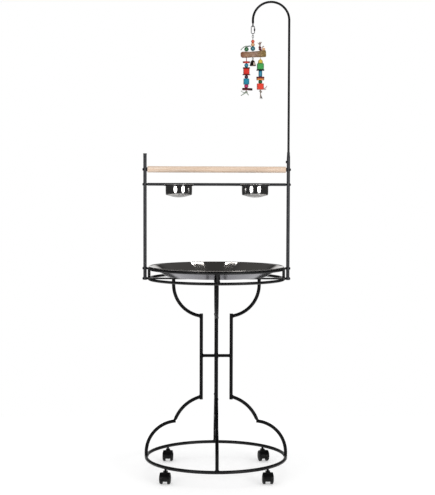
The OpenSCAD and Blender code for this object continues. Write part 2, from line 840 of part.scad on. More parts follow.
// Places a caster's piece, drawn with its stem on the Z axis and its axle towards -Y
module at_corner(i) {
    translate([corners[i].x * caster_xy, corners[i].y * caster_xy, 0])
        rotate([0, 0, corner_yaw[i]])
            children();
}

// Housing in its side view: the web's disc, the stem's socket and the hood's curved roof
module housing_web() {
    axle_z = wheel_d / 2;
    socket_top = axle_z + hood_r + 1.6;
    union() {
        translate([-trail, axle_z])
            circle(r = axle_z - 8);
        translate([-trail, axle_z - 4])
            square([trail, hood_r - 2]);
        translate([-stem_d / 2 - 3, axle_z + 1])
            square([stem_d + 6, socket_top - axle_z - 1]);
    }
}

// Radius of the hood's roof at a share of its half width
function roof_r(share) = hood_r - hood_crown * pow(abs(share), 3);

// Half turn of an arched section about the axle, open below
module hood() {
    shares = [-1:0.125:1];
    rotate([0, 90, 0])
        rotate([0, 0, 90])
            rotate_extrude(angle = 180)
                polygon(concat(
                    [for (t = shares) [roof_r(t), t * hood_w / 2]],
                    [for (t = shares) [roof_r(t) - hood_t, -t * hood_w / 2]]
                ));
}

module caster_housing() {
    axle_z = wheel_d / 2;
    color("#17171a")
        difference() {
            union() {
                translate([-web_w / 2, 0, 0])
                    rotate([90, 0, 90])
                        linear_extrude(height = web_w)
                            housing_web();
                translate([0, -trail, axle_z])
                    hood();
            }
            translate([0, 0, stem_low_z - rest_gap])
                cylinder(h = wheel_d, d = stem_d + 2 * run_gap);
            translate([0, -trail, 0])
                x_rod(-web_w, web_w, axle_z, axle_d);
        }
}

module caster_axle() {
    color("#9a9b9e")
        translate([0, -trail, 0])
            x_rod(-axle_half, axle_half, wheel_d / 2, axle_d - 2 * run_gap);
}

// Wheel with a narrow tread, a domed outer face round a small hub and a hollow inner side
module caster_wheel(side) {
    r = wheel_d / 2;
    tread_w = 4;
    dome = [for (a = [0:7.5:82.5]) [r * pow(cos(a), 2 / 3), tread_w + (wheel_w - tread_w) * pow(sin(a), 2 / 3)]];
    color("#1b1b1e")
        translate([0, -trail, r])
            rotate([0, side * 90, 0])
                translate([0, 0, wheel_in_x])
                    difference() {
                        rotate_extrude()
                            polygon([
                                [0, 0], [r - 0.8, 0], [r, 0.8], for (p = dome) p,
                                [4.5, wheel_w - 0.4], [3.5, wheel_w], [0, wheel_w],
                            ]);
                        difference() {
                            translate([0, 0, -cut])
                                cylinder(h = wheel_w - 5.5 + cut, r = r - 3);
                            translate([0, 0, -2 * cut])
                                cylinder(h = wheel_w + cut, r = axle_d / 2 + 2.2);
                            for (a = [0:60:300])
                                rotate([0, 0, a])
                                    translate([0, -0.8, -2 * cut])
                                        cube([r, 1.6, wheel_w]);
                        }
                        translate([0, 0, -cut])
                            cylinder(h = axle_half - wheel_in_x + 0.4 + cut, d = axle_d);
                    }
}

// Places a toy piece, drawn with the hanger on the Z axis
module on_hanger() {
    translate([hook_x, 0, 0])
        children();
}

module quick_link() {
    color("#a7a8aa")
        on_hanger()
            wire_link(link_top_z, link_end_r, link_side, link_wire_d);
}

module quick_link_nut() {
    color("#2a2a2c")
        on_hanger()
            translate([link_end_r, 0, link_low_z + link_side / 2 - link_nut_len / 2])
                difference() {
                    cylinder(h = link_nut_len, d = link_nut_d);
                    translate([0, 0, -cut])
                        cylinder(h = link_nut_len + 2 * cut, d = link_wire_d + 2 * run_gap);
                }
}

module chain_links() {
    color("#8d8f92")
        on_hanger() {
            rotate([0, 0, 90])
                wire_link(chain_1_top, chain_end_r, chain_side, wire_d);
            wire_link(chain_2_top, chain_end_r, chain_side, wire_d);
        }
}

// Hanger wire with an eye at each end, each eye closed by a neck of wound wire
module toy_wire() {
    neck_len = 2.2;
    color("#8d8f92")
        on_hanger() {
            rotate([0, 0, 90])
                bent_rod([0, eye_z], eye_r, 0, 360, wire_d);
            bent_rod([0, low_eye_z], eye_r, 0, 360, wire_d);
            for (z = [eye_z - eye_r - neck_len, low_eye_z + eye_r - neck_rise])
                translate([0, 0, z])
                    cylinder(h = neck_len + neck_rise, d = 2 * wire_d);
            translate([0, 0, low_eye_z + eye_r])
                cylinder(h = eye_z - low_eye_z - 2 * eye_r, d = wire_d);
        }
}

// Round bead or drum with a bore, standing on z = 0
module bead(d, h, bore) {
    translate([0, 0, h / 2])
        rotate_extrude()
            intersection() {
                circle(d = d > h ? d : norm([d, h * 0.6]));
                translate([bore / 2, -h / 2])
                    square([(d - bore) / 2, h]);
            }
}

module top_beads() {
    bore = wire_d + 2 * hole_gap;
    on_hanger() {
        for (i = [0:2])
            color(hanger_beads[i][3])
                translate([0, 0, hanger_bead_top - stack_len(hanger_beads, i + 1)])
                    bead(hanger_beads[i][1], hanger_beads[i][2] - stack_gap, bore);
        color("#2f7d4a")
            translate([-left_strand_x, 0, log_z + log_top_at(-left_strand_x) + rest_gap])
                bead(lace_bead[0], lace_bead[1], cord_d + 2 * hole_gap);
    }
}

module log() {
    color("#a8876a")
        on_hanger()
            difference() {
                translate([log_shift, 0, log_z])
                    rotate([0, 90 - log_tilt, 0])
                        translate([0, 0, -log_len / 2])
                            cylinder(h = log_len, d1 = log_left_d, d2 = log_right_d);
                for (x = [-left_strand_x, right_strand_x])
                    translate([x, 0, log_z - log_right_d])
                        cylinder(h = 2 * log_right_d, d = cord_d + 2 * hole_gap);
                translate([0, 0, log_z - log_right_d])
                    cylinder(h = 2 * log_right_d, d = wire_d + 2 * hole_gap);
            }
}

// Cord ends that are tied on top of the log
module top_knots() {
    left_z = log_z + log_top_at(-left_strand_x) + 2 * rest_gap + lace_bead[1];
    right_z = log_z + log_top_at(right_strand_x) + rest_gap;
    on_hanger() {
        color("#8f968c") {
            translate([-left_strand_x, 0, left_z]) {
                translate([0, 0, -lace_bead[1]])
                    cylinder(h = lace_bead[1] + 3, d = cord_d - 0.4);
                translate([0, 0, 3])
                    sphere(d = 6);
                for (a = [-75, 60])
                    translate([0, 0, 3])
                        rotate([0, a, 0])
                            cylinder(h = 13, d1 = cord_d - 0.4, d2 = cord_d - 1);
            }
        }
        color("#7a1d2c") {
            translate([right_strand_x, 0, right_z + 3.5]) {
                translate([0, 0, -3.5])
                    cylinder(h = 14, d = 5);
                sphere(d = 7);
                translate([0, 0, 6])
                    sphere(d = 7.5);
                translate([0, 0, 10])
                    cylinder(h = 13, d1 = 4, d2 = 9);
                translate([1, 0, 5])
                    rotate([0, 50, 0])
                        cylinder(h = 13, d1 = 4, d2 = 6);
            }
        }
    }
}

// Slab with its four upright edges cut back by c, bored for the cord
module bored_slab(w, h, depth, c, bore) {
    x = w / 2;
    y = depth / 2;
    difference() {
        linear_extrude(height = h)
            polygon([
                [c - x, -y], [x - c, -y], [x, c - y], [x, y - c],
                [x - c, y], [c - x, y], [-x, y - c], [-x, c - y],
            ]);
        translate([0, 0, -cut])
            cylinder(h = h + 2 * cut, d = bore);
    }
}

// Bead with a flat foot and a domed top
module bored_dome(w, h, bore) {
    foot = h * 0.35;
    rise = arc_points([0, 0], 1, 0, 75, 8);
    rotate_extrude()
        polygon([
            [bore / 2, 0], for (p = rise) [p.x * w / 2, foot + p.y * (h - foot)],
            [bore / 2, h],
        ]);
}

// One strand piece standing on z = 0, bored for the cord
module strand_piece(form, w, h, depth) {
    bore = cord_d + 2 * hole_gap;
    if (form == "bead")
        bead(w, h, bore);
    if (form == "dome")
        bored_dome(w, h, bore);
    if (form == "block")
        bored_slab(w, h, depth, 1.6, bore);
    if (form == "slat")
        bored_slab(w, h, depth, depth * 0.3, bore);
    if (form == "stick")
        difference() {
            translate([w * 0.1, 0, 0])
                x_rod(-w / 2, w / 2, h / 2, depth);
            translate([0, 0, -cut])
                cylinder(h = h + 2 * cut, d = bore);
        }
}

module strand_blocks(stack, x, top_z) {
    on_hanger()
        for (i = [0:len(stack) - 1])
            color(stack[i][4])
                translate([x, 0, top_z - stack_len(stack, i + 1)])
                    strand_piece(stack[i][0], stack[i][1], stack[i][2] - stack_gap, stack[i][3]);
}

module left_strand_blocks() {
    strand_blocks(left_stack, -left_strand_x, left_top_z - left_drop);
}

module right_strand_blocks() {
    strand_blocks(right_stack, right_strand_x, right_top_z - right_drop);
}

// Cord of a strand from below the log to the tied tails under its last piece
module strand_cord(x, top_z, end_z) {
    on_hanger()
        translate([x, 0, 0]) {
            translate([0, 0, end_z - 2])
                cylinder(h = top_z - rest_gap - end_z + 2, d = cord_d);
            translate([0, 0, end_z - knot_d / 2 - 0.2])
                sphere(d = knot_d);
            for (a = [-28, 10])
                translate([0, 0, end_z - knot_d / 2])
                    rotate([0, 180 + a, 0])
                        cylinder(h = knot_d / 2 + tail_len, d1 = cord_d, d2 = cord_d + 1.4);
        }
}

// Bell: a flared shell with a wire loop on its crown
module bell() {
    r = bell_d / 2;
    t = bell_wall;
    crown_r = r * 0.42;
    color("#77706a")
        on_hanger() {
            translate([0, 0, bell_low_z])
                rotate_extrude()
                    polygon([
                        [0, bell_h], [crown_r, bell_h], [crown_r + 1.4, bell_h - 1],
                        [r * 0.6, bell_h * 0.6], [r * 0.7, bell_h * 0.3], [r, bell_h * 0.05], [r, 0],
                        [r - t, 0], [r * 0.7 - t, bell_h * 0.3], [r * 0.6 - t, bell_h * 0.6],
                        [crown_r + 0.4, bell_h - 2.4 * t], [0, bell_h - 2 * t],
                    ]);
            rotate([0, 0, 90])
                bent_rod([0, bell_loop_z], bell_loop_r, 0, 360, wire_d - 0.2);
        }
}

module clapper() {
    ball_z = bell_low_z + clapper_d / 2 - 1;
    hang_z = bell_low_z + bell_h - 2 * bell_wall - rest_gap;
    color("#d8b08a")
        on_hanger() {
            translate([0, 0, ball_z])
                cylinder(h = hang_z - ball_z, d = 1.6);
            translate([0, 0, ball_z])
                sphere(d = clapper_d);
        }
}

base_ring();
leg_at(180);  // left_leg
leg_at(0);  // right_leg
leg_at(270);  // front_leg
leg_at(90);  // back_leg
leg_cross_tie();
tray_ring(low_hoop_z);  // lower_tray_ring
tray_ring(top_hoop_z);  // upper_tray_ring
ring_struts();
tray_cross_bars();
leg_top_screws();
tray();
left_upright();
right_upright();
left_upright_plug();
ring_bolts();
ring_bolt_spacers();
perch();
perch_screws();
perch_washers();
cup_crossbar();
crossbar_screws();
crossbar_bushes();
cup_ring(-cup_x);  // left_cup_ring
cup_ring(cup_x);  // right_cup_ring
cup(-cup_x);  // left_cup
cup(cup_x);  // right_cup
toy_hook();
hook_set_screw();
caster_stems();
for (i = [0:3]) {
    at_corner(i) caster_housing();
    at_corner(i) caster_axle();
    at_corner(i) caster_wheel(-1);
    at_corner(i) caster_wheel(1);
}
quick_link();
quick_link_nut();
chain_links();
toy_wire();
top_beads();
log();
top_knots();
strand_cord(-left_strand_x, left_top_z, left_end_z);  // left_cord
left_strand_blocks();
strand_cord(right_strand_x, right_top_z, right_end_z);  // right_cord
right_strand_blocks();
bell();
clapper();
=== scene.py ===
# Looks of a parrot stand: a wheeled hoop base, bent legs, a steel tray, two cups, a perch and a hanging toy
import math

import bmesh
import bpy
import numpy as np
from mathutils import Matrix, Vector


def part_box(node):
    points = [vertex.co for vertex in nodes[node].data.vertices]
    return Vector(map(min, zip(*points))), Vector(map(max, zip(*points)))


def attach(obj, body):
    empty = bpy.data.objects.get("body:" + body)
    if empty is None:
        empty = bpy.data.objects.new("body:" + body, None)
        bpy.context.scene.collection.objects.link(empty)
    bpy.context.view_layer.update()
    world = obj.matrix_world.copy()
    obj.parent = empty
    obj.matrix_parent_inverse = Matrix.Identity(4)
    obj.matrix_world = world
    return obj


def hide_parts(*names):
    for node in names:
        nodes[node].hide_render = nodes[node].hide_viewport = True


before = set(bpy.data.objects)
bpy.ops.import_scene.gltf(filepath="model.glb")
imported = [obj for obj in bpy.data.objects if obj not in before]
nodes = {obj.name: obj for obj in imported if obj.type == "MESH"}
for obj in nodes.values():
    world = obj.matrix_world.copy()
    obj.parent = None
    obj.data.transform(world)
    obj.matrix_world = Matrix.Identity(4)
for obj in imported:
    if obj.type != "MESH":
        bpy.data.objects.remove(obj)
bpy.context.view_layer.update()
mm = 0.001
print("frame loaded:", len(nodes), "nodes")


def topOf(name):
    # Height of a node's highest point, in millimetres
    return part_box(name)[1][2] / mm


def footOf(name):
    # Height of a node's lowest point, in millimetres
    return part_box(name)[0][2] / mm


def middleOf(name):
    return (topOf(name) + footOf(name)) / 2


def placeObject(name, data):
    made = bpy.data.objects.new(name, data)
    bpy.context.scene.collection.objects.link(made)
    return made


# Camera: the photograph's view, a little above the perch and looking slightly down
cameraSet = {"distance": 4.352, "sideways": -0.0662, "height": 1.0332, "lens": 89.89,
             "turn": -0.917, "tiltDown": 3.1, "roll": 0.1655}
cameraData = bpy.data.cameras.new("photoCamera")
cameraData.lens = cameraSet["lens"]
cameraData.sensor_width = 36
cameraData.clip_end = 60
photoCamera = placeObject("photoCamera", cameraData)
photoCamera.location = (cameraSet["sideways"], -cameraSet["distance"], cameraSet["height"])
turned = Matrix.Rotation(math.radians(cameraSet["turn"]), 4, "Z")
tilted = Matrix.Rotation(math.radians(90 - cameraSet["tiltDown"]), 4, "X")
rolled = Matrix.Rotation(math.radians(cameraSet["roll"]), 4, "Z")
photoCamera.rotation_euler = (turned @ tilted @ rolled).to_euler()
bpy.context.scene.camera = photoCamera
bpy.context.scene.view_settings.view_transform = "Standard"


# Materials

def hexToLinear(code):
    # sRGB hex to the linear values that the shader works in
    values = [int(code[i:i + 2], 16) / 255 for i in (1, 3, 5)]
    return tuple(v / 12.92 if v <= 0.04045 else ((v + 0.055) / 1.055) ** 2.4 for v in values) + (1.0,)


def addNode(tree, kind, settings=None, inputs=None, stops=None):
    # One node with its settings, its input values or links, and its ramp's stops
    node = tree.nodes.new(kind)
    for key, value in (settings or {}).items():
        setattr(node, key, value)
    for key, value in (inputs or {}).items():
        if isinstance(value, bpy.types.NodeSocket):
            tree.links.new(value, node.inputs[key])
        else:
            node.inputs[key].default_value = value
    if stops:
        while len(node.color_ramp.elements) < len(stops):
            node.color_ramp.elements.new(0.5)
        for element, (position, code) in zip(node.color_ramp.elements, stops):
            element.position = position
            element.color = hexToLinear(code) if isinstance(code, str) else (code, code, code, 1)
    return node


def emptyTree(owner):
    owner.use_nodes = True
    owner.node_tree.nodes.clear()
    return owner.node_tree


def startMaterial(name, shaderValues):
    # Material with one Principled shader and the piece's own coordinates
    material = bpy.data.materials.new(name)
    tree = emptyTree(material)
    shader = addNode(tree, "ShaderNodeBsdfPrincipled", inputs=shaderValues)
    addNode(tree, "ShaderNodeOutputMaterial", inputs={"Surface": shader.outputs[0]})
    place = addNode(tree, "ShaderNodeTexCoord").outputs["Object"]
    return {"material": material, "tree": tree, "shader": shader}, tree, place


def noise(tree, vector, scale, detail):
    made = addNode(tree, "ShaderNodeTexNoise", inputs={"Vector": vector, "Scale": scale, "Detail": detail})
    return made.outputs["Fac"]


def mapped(tree, vector, kind="POINT", **values):
    # Coordinates moved by Location, or scaled unevenly by Scale so that a pattern runs along the grain
    return addNode(tree, "ShaderNodeMapping", {"vector_type": kind}, {"Vector": vector, **values}).outputs[0]


def axesOf(tree, vector):
    return addNode(tree, "ShaderNodeSeparateXYZ", inputs={"Vector": vector}).outputs


def ramp(tree, value, *stops):
    return addNode(tree, "ShaderNodeValToRGB", inputs={"Fac": value}, stops=stops).outputs["Color"]


def mixed(tree, share, one, two, kind="MIX"):
    one, two = (hexToLinear(colour) if isinstance(colour, str) else colour for colour in (one, two))
    made = addNode(tree, "ShaderNodeMix", {"data_type": "RGBA", "blend_type": kind}, {0: share, 6: one, 7: two})
    return made.outputs[2]


def ranged(tree, value, low, high, start=0.0, end=1.0, kind="LINEAR"):
    # A value from start to end becomes one from low to high
    made = addNode(tree, "ShaderNodeMapRange", {"interpolation_type": kind},
                   {"Value": value, "From Min": start, "From Max": end, "To Min": low, "To Max": high})
    return made.outputs[0]


def reckon(tree, operation, first, *others):
    # One maths node after another takes in each value
    for other in others:
        first = addNode(tree, "ShaderNodeMath", {"operation": operation}, {0: first, 1: other}).outputs[0]
    return first


def lengthOf(tree, vector):
    return addNode(tree, "ShaderNodeVectorMath", {"operation": "LENGTH"}, {0: vector}).outputs["Value"]


def finishMaterial(made, colour, rough, height, depthMm, strength=1.0):
    # Colour, roughness and a bump of the given depth for the shader
    tree = made["tree"]
    skin = addNode(tree, "ShaderNodeBump",
                   inputs={"Height": height, "Distance": depthMm * mm, "Strength": strength}).outputs[0]
    for socket, value in (("Base Color", colour), ("Roughness", rough), ("Normal", skin)):
        if isinstance(value, float):
            made["shader"].inputs[socket].default_value = value
        else:
            tree.links.new(value, made["shader"].inputs[socket])
    return made["material"]


# Most of a noise's values lie between these two
noiseSpan = (0.3, 0.7)


def powderCoat(name, colour, lift, grainMm, depthMm, rough, specular):
    # Polyester powder baked on steel: a skin of fine rounded bumps, a little glossier on their tops
    made, tree, place = startMaterial(name, {"Specular IOR Level": specular})
    grain = noise(tree, place, 1000 / grainMm, 2.0)
    tint = mixed(tree, noise(tree, place, 28.0, 3.0), colour, lift)
    gloss = ranged(tree, grain, rough + 0.07, rough - 0.07, *noiseSpan)
    return finishMaterial(made, tint, gloss, grain, depthMm)


def polishedStainless(name, centre, colours, rough, haze=0.05):
    # 18/8 stainless sheet, spun and buffed: fine rings round its axis and a faint cloudiness
    made, tree, place = startMaterial(name, {"Metallic": 1.0})
    axes = axesOf(tree, mapped(tree, place, Location=(-centre[0], -centre[1], 0)))
    flat = addNode(tree, "ShaderNodeCombineXYZ", inputs={"X": axes["X"], "Y": axes["Y"]})
    radius = lengthOf(tree, flat.outputs[0])
    section = addNode(tree, "ShaderNodeCombineXYZ", inputs={"X": radius, "Z": axes["Z"]})
    # Buffing rings every 0.9 mm, drawn coarser than the real ones so that they show
    rings = noise(tree, section.outputs[0], 1100.0, 3.0)
    tint = mixed(tree, noise(tree, place, 22.0, 4.0), *colours)
    gloss = ranged(tree, rings, rough, rough + haze, *noiseSpan)
    return finishMaterial(made, tint, gloss, rings, 0.0001)


def platedSteel(name, colours, rough, blotchMm, paintedGlint=None):
    # Zinc or nickel plate on steel: bright, with a thin blotchy haze, and where wanted a painted highlight, a spot of
    # pale non-metallic colour
    made, tree, place = startMaterial(name, {"Metallic": 1.0})
    blotch = noise(tree, place, 1000 / blotchMm, 4.0)
    tint = ramp(tree, blotch, (0.35, colours[0]), (0.65, colours[1]))
    if paintedGlint:
        # Painted highlight share = 1 within 0.6 of an ellipsoid of the given half sizes round its centre, and fades to
        # 0 at 1.1
        away = lengthOf(tree, mapped(tree, place, "TEXTURE", Location=paintedGlint["centre"], Scale=paintedGlint["half"]))
        glintShare = ranged(tree, away, 1.0, 0.0, 0.6, 1.1)
        tint = mixed(tree, glintShare, tint, paintedGlint["colour"])
        tree.links.new(reckon(tree, "SUBTRACT", 1.0, glintShare), made["shader"].inputs["Metallic"])
    return finishMaterial(made, tint, ranged(tree, blotch, rough - 0.08, rough + 0.12), blotch, 0.02, 0.4)


def mouldedNylon(name, colours, rough):
    # Nylon from a spark-eroded mould: a fine even grain with a soft shine
    made, tree, place = startMaterial(name, {"IOR": 1.53, "Specular IOR Level": 0.2})
    flow = noise(tree, place, 90.0, 2.0)
    return finishMaterial(made, mixed(tree, flow, *colours), ranged(tree, flow, rough - 0.06, rough + 0.06),
                          noise(tree, place, 1400.0, 2.0), 0.03, 0.6)


def sandedDowel(name):
    # Beech turned to a dowel and sanded: straight pale grain along X with short darker flecks
    made, tree, place = startMaterial(name, {"IOR": 1.5, "Specular IOR Level": 0.3})
    # Growth rings about 2 mm apart, cut lengthways: noise drawn out 40 times along the dowel
    grain = noise(tree, mapped(tree, place, Scale=(12, 480, 480)), 1.0, 5.0)
    fleck = noise(tree, mapped(tree, place, Scale=(180, 1500, 1500)), 1.0, 1.0)
    wood = ramp(tree, grain, (0.3, "#dfc0a4"), (0.5, "#ecd3bd"), (0.68, "#f2e0cf"))
    tint = mixed(tree, ramp(tree, fleck, (0.62, 0.0), (0.72, 1.0)), wood, "#cda98c")
    return finishMaterial(made, tint, ranged(tree, grain, 0.62, 0.5), grain, 0.12, 0.6)


def dyedWood(name, colour, deep):
    # Pine dipped in food dye: the dye sits deeper in the soft grain; the edges are darker, partly end grain that drinks
    # more dye and partly painted shade, and a bead's belly gets a painted pale highlight
    made, tree, place = startMaterial(name, {"IOR": 1.5, "Specular IOR Level": 0.35})
    grain = noise(tree, mapped(tree, place, Scale=(160, 900, 900)), 1.0, 4.0)
    patch = noise(tree, place, 140.0, 2.0)
    uptake = reckon(tree, "ADD", reckon(tree, "MULTIPLY", grain, 0.7), reckon(tree, "MULTIPLY", patch, 0.3))
    face = ramp(tree, uptake, (0.3, deep), (0.5, colour))
    # Per point: share of darker end grain and painted edge shade, below zero where a bead's belly gets a painted
    # highlight
    ends = addNode(tree, "ShaderNodeAttribute", {"attribute_name": "endGrainShadeAndHighlight"}).outputs["Fac"]
    bellyHighlightColour, darkEndGrainAndShadeShare = (0.8, 0.82, 0.76, 1), 0.2
    darkEndGrainAndShade = tuple(darkEndGrainAndShadeShare * value for value in hexToLinear(deep)[:3]) + (1.0,)
    # Painted pale highlight on a bead's belly, where the share is below zero
    paintedBellyHighlight = mixed(tree, reckon(tree, "MULTIPLY", ends, -1.0), face, bellyHighlightColour)
    # Darker end grain and painted edge shade where the share is above zero
    return finishMaterial(made, mixed(tree, ends, paintedBellyHighlight, darkEndGrainAndShade), ranged(tree, grain, 0.45, 0.3), grain, 0.1, 0.6)


def barkSkin(name):
    # Thin dried bark: smooth grey-brown plates with shallow cracks along the branch, redder at one end and lichen
    # green at the other
    made, tree, place = startMaterial(name, {"Specular IOR Level": 0.25})
    crack = addNode(tree, "ShaderNodeTexVoronoi", {"feature": "DISTANCE_TO_EDGE"},
                    {"Vector": mapped(tree, place, Scale=(120, 420, 420)), "Scale": 1.0}).outputs["Distance"]
    plates = ramp(tree, noise(tree, place, 190.0, 4.0), (0.3, "#8e7462"), (0.5, "#a78e7c"), (0.7, "#c5b09d"))
    redX, greenX = 0.0835, 0.1705
    across = ranged(tree, axesOf(tree, place)["X"], 0.0, 1.0, redX, greenX)
    hue = ramp(tree, across, (0.0, "#c99a86"), (0.22, "#e2cdbd"), (0.6, "#dcd3d2"), (0.8, "#cfc69c"), (1.0, "#c2bd7c"))
    tinted = mixed(tree, 1.0, plates, hue, "MULTIPLY")
    shade = addNode(tree, "ShaderNodeVectorMath", {"operation": "SCALE"},
                    {0: tinted, "Scale": ranged(tree, crack, 0.72, 1.12, 0.0, 0.1)})
    return finishMaterial(made, shade.outputs[0], 0.75, crack, 0.4, 0.35)


def sawnEnd(name, pale, ringColour, centre):
    # Branch sawn across: growth rings about 1.4 mm apart round the heart, roughened by the saw
    made, tree, place = startMaterial(name, {"Specular IOR Level": 0.2})
    moved = mapped(tree, place, Location=tuple(-c for c in centre))
    rings = addNode(tree, "ShaderNodeTexWave", {"wave_type": "RINGS", "rings_direction": "X"},
                    {"Vector": moved, "Scale": 230.0, "Distortion": 3.0, "Detail": 2.0}).outputs["Fac"]
    return finishMaterial(made, ramp(tree, rings, (0.1, ringColour), (0.7, pale)), 0.8, rings, 0.1, 0.5)


def twistedCotton(name, colour, deep):
    # Cotton cord: yarn strands lie aslant, with painted shade in their grooves, and a soft fuzz that catches light
    made, tree, place = startMaterial(
        name, {"Specular IOR Level": 0.15, "Sheen Weight": 0.25, "Sheen Roughness": 0.5})
    uv = addNode(tree, "ShaderNodeTexCoord").outputs["UV"]
    strands = addNode(tree, "ShaderNodeTexWave", {"bands_direction": "DIAGONAL"},
                      {"Vector": uv, "Scale": 2.4, "Distortion": 1.5, "Detail": 1.0}).outputs["Fac"]
    # Darker where the strands dip: painted shade in the grooves, times the yarn's own fine uneven tone
    level = reckon(tree, "MULTIPLY", strands, noise(tree, place, 2600.0, 3.0))
    return finishMaterial(made, ramp(tree, level, (0.05, deep), (0.4, colour)), 0.9, level, 0.3, 0.7)


def colourSet(maker, stem, codes):
    # One material for each colour, named for it
    return {name: maker(stem + name[0].upper() + name[1:], *pair) for name, pair in codes.items()}


# Powder coats: two colours, the bumps' width and depth in millimetres, roughness and specular level
frameCoat = powderCoat("satinBlackPowderCoat", "#0a0a0b", "#121214", 1.2, 0.03, 0.34, 0.3)
legCoat = powderCoat("blackPowderCoatLegs", "#060607", "#0c0c0e", 1.2, 0.03, 0.34, 0.12)
tubeCoat = powderCoat("texturedCharcoalPowderCoat", "#202125", "#2e2f34", 1.6, 0.04, 0.4, 0.45)
# Plated steels: two colours, roughness and the blotches' width in millimetres
hardwareCoat = platedSteel("blackZincPlate", ["#17171a", "#2b2b30"], 0.4, 3.0)
zincPlate = platedSteel("smokedZincPlate", ["#4c4d50", "#8a8b8d"], 0.22, 2.5)
stemPlate = platedSteel("blackZincStem", ["#101012", "#232326"], 0.35, 2.0)
# The bell's plate gets a painted highlight: a pale spot on its front, right of centre
nickelPlate = platedSteel("tarnishedNickelPlate", ["#3a322c", "#8a8078"], 0.25, 4.0, {
    "centre": (0.1294, -0.010, footOf("bell") * mm + 0.0072), "half": (0.0028, 0.012, 0.0074), "colour": "#f3d9c8"})
polishedBrass = platedSteel("polishedBrass", ["#c79a6e", "#f0d2b4"], 0.22, 2.0)
hoodNylon = mouldedNylon("mouldedBlackNylon", ["#060607", "#0d0d0e"], 0.38)
wheelNylon = mouldedNylon("wheelBlackNylon", ["#080809", "#101011"], 0.45)
perchBeech = sandedDowel("sandedBeechDowel")
trayCentre = (0.0, 0.0)
cupCentres = {"left_cup": (-0.132, -0.063), "right_cup": (0.132, -0.063)}
trayStainless = polishedStainless("buffedStainlessTray", trayCentre, ["#a29e9a", "#b0aca8"], 0.025, 0.01)
cupUnderside = platedSteel("satinStainlessCupBottom", ["#8b8987", "#c9c7c4"], 0.3, 5.0)
# Underside of the tray: a rougher mill finish, with a darker colour that is painted shade
trayUndersideFinishAndShade = polishedStainless("millFinishTrayUndersideAndPaintedShade", trayCentre, ["#77767b", "#828186"], 0.14)
cupStainless = {name: polishedStainless("buffedStainless_" + name, centre, ["#b4b3b2", "#c6c5c4"], 0.05)
                for name, centre in cupCentres.items()}
print("materials made")


# CAD nodes whose shape is right take their finish here
nodeFinish = {
    frameCoat: ["base_ring", "lower_tray_ring", "upper_tray_ring", "ring_struts", "left_cup_ring", "right_cup_ring",
                "toy_hook", "tray_cross_bars"],
    legCoat: ["left_leg", "right_leg", "front_leg", "back_leg", "leg_cross_tie"],
    tubeCoat: ["left_upright", "right_upright", "cup_crossbar"],
    hardwareCoat: ["leg_top_screws", "ring_bolts", "perch_screws", "crossbar_screws", "hook_set_screw",
                   "quick_link_nut", "perch_washers"],
    hoodNylon: ["left_upright_plug", "ring_bolt_spacers", "crossbar_bushes"]
    + [name for name in nodes if name.endswith("caster_housing")],
    wheelNylon: [name for name in nodes if name.endswith("wheel")],
    zincPlate: ["quick_link", "chain_links", "toy_wire"],
    stemPlate: ["caster_stems"] + [name for name in nodes if name.endswith("caster_axle")],
    perchBeech: ["perch"],
    polishedBrass: ["clapper"],
}
for finish, names in nodeFinish.items():
    for name in names:
        nodes[name].data.materials.clear()
        nodes[name].data.materials.append(finish)
print("CAD nodes finished")


# Surfaces from arrays

def around(count):
    # Angles of a full turn
    return np.linspace(0, 2 * np.pi, count, endpoint=False)


def unit(vectors):
    return vectors / np.linalg.norm(vectors, axis=-1, keepdims=True)


def bezierPath(corners, count):
    # Point at t = sum over corners of binomial(n, k) * t^k * (1 - t)^(n - k) * corner k
    corners = np.array(corners, float)
    n = len(corners) - 1
    t = np.linspace(0, 1, count)[:, None]
    weights = np.concatenate([math.comb(n, k) * t ** k * (1 - t) ** (n - k) for k in range(n + 1)], 1)
    return weights @ corners


def tubeGrid(path, radius, sides, side=(0, 1, 0), turns=0.0):
    # Ring point = path point + radius * (cos(angle) * across + sin(angle) * up), with both square to the path
    path = np.array(path, float)
    along = unit(np.gradient(path, axis=0))
    across = unit(np.array(side, float) - along * (along @ np.array(side, float))[:, None])
    up = np.cross(along, across)
    angle = around(sides) + 2 * np.pi * turns * np.linspace(0, 1, len(path))[:, None]
    radius = np.broadcast_to(np.array(radius, float).reshape(-1, 1) if np.ndim(radius) == 1 else radius,
                             angle.shape)[..., None]
    return path[:, None, :] + radius * (np.cos(angle)[..., None] * across[:, None, :]
                                        + np.sin(angle)[..., None] * up[:, None, :])


def ringPart(curve, one, two, radius, sides):
    # Closed tube: ring point = curve point + radius * (cos(angle) * one + sin(angle) * two)
    angle = around(sides)[None, :, None]
    ring = curve[:, None] + radius * (np.cos(angle) * one[:, None] + np.sin(angle) * two[:, None])
    return gridPart(ring, wrapRows=True)


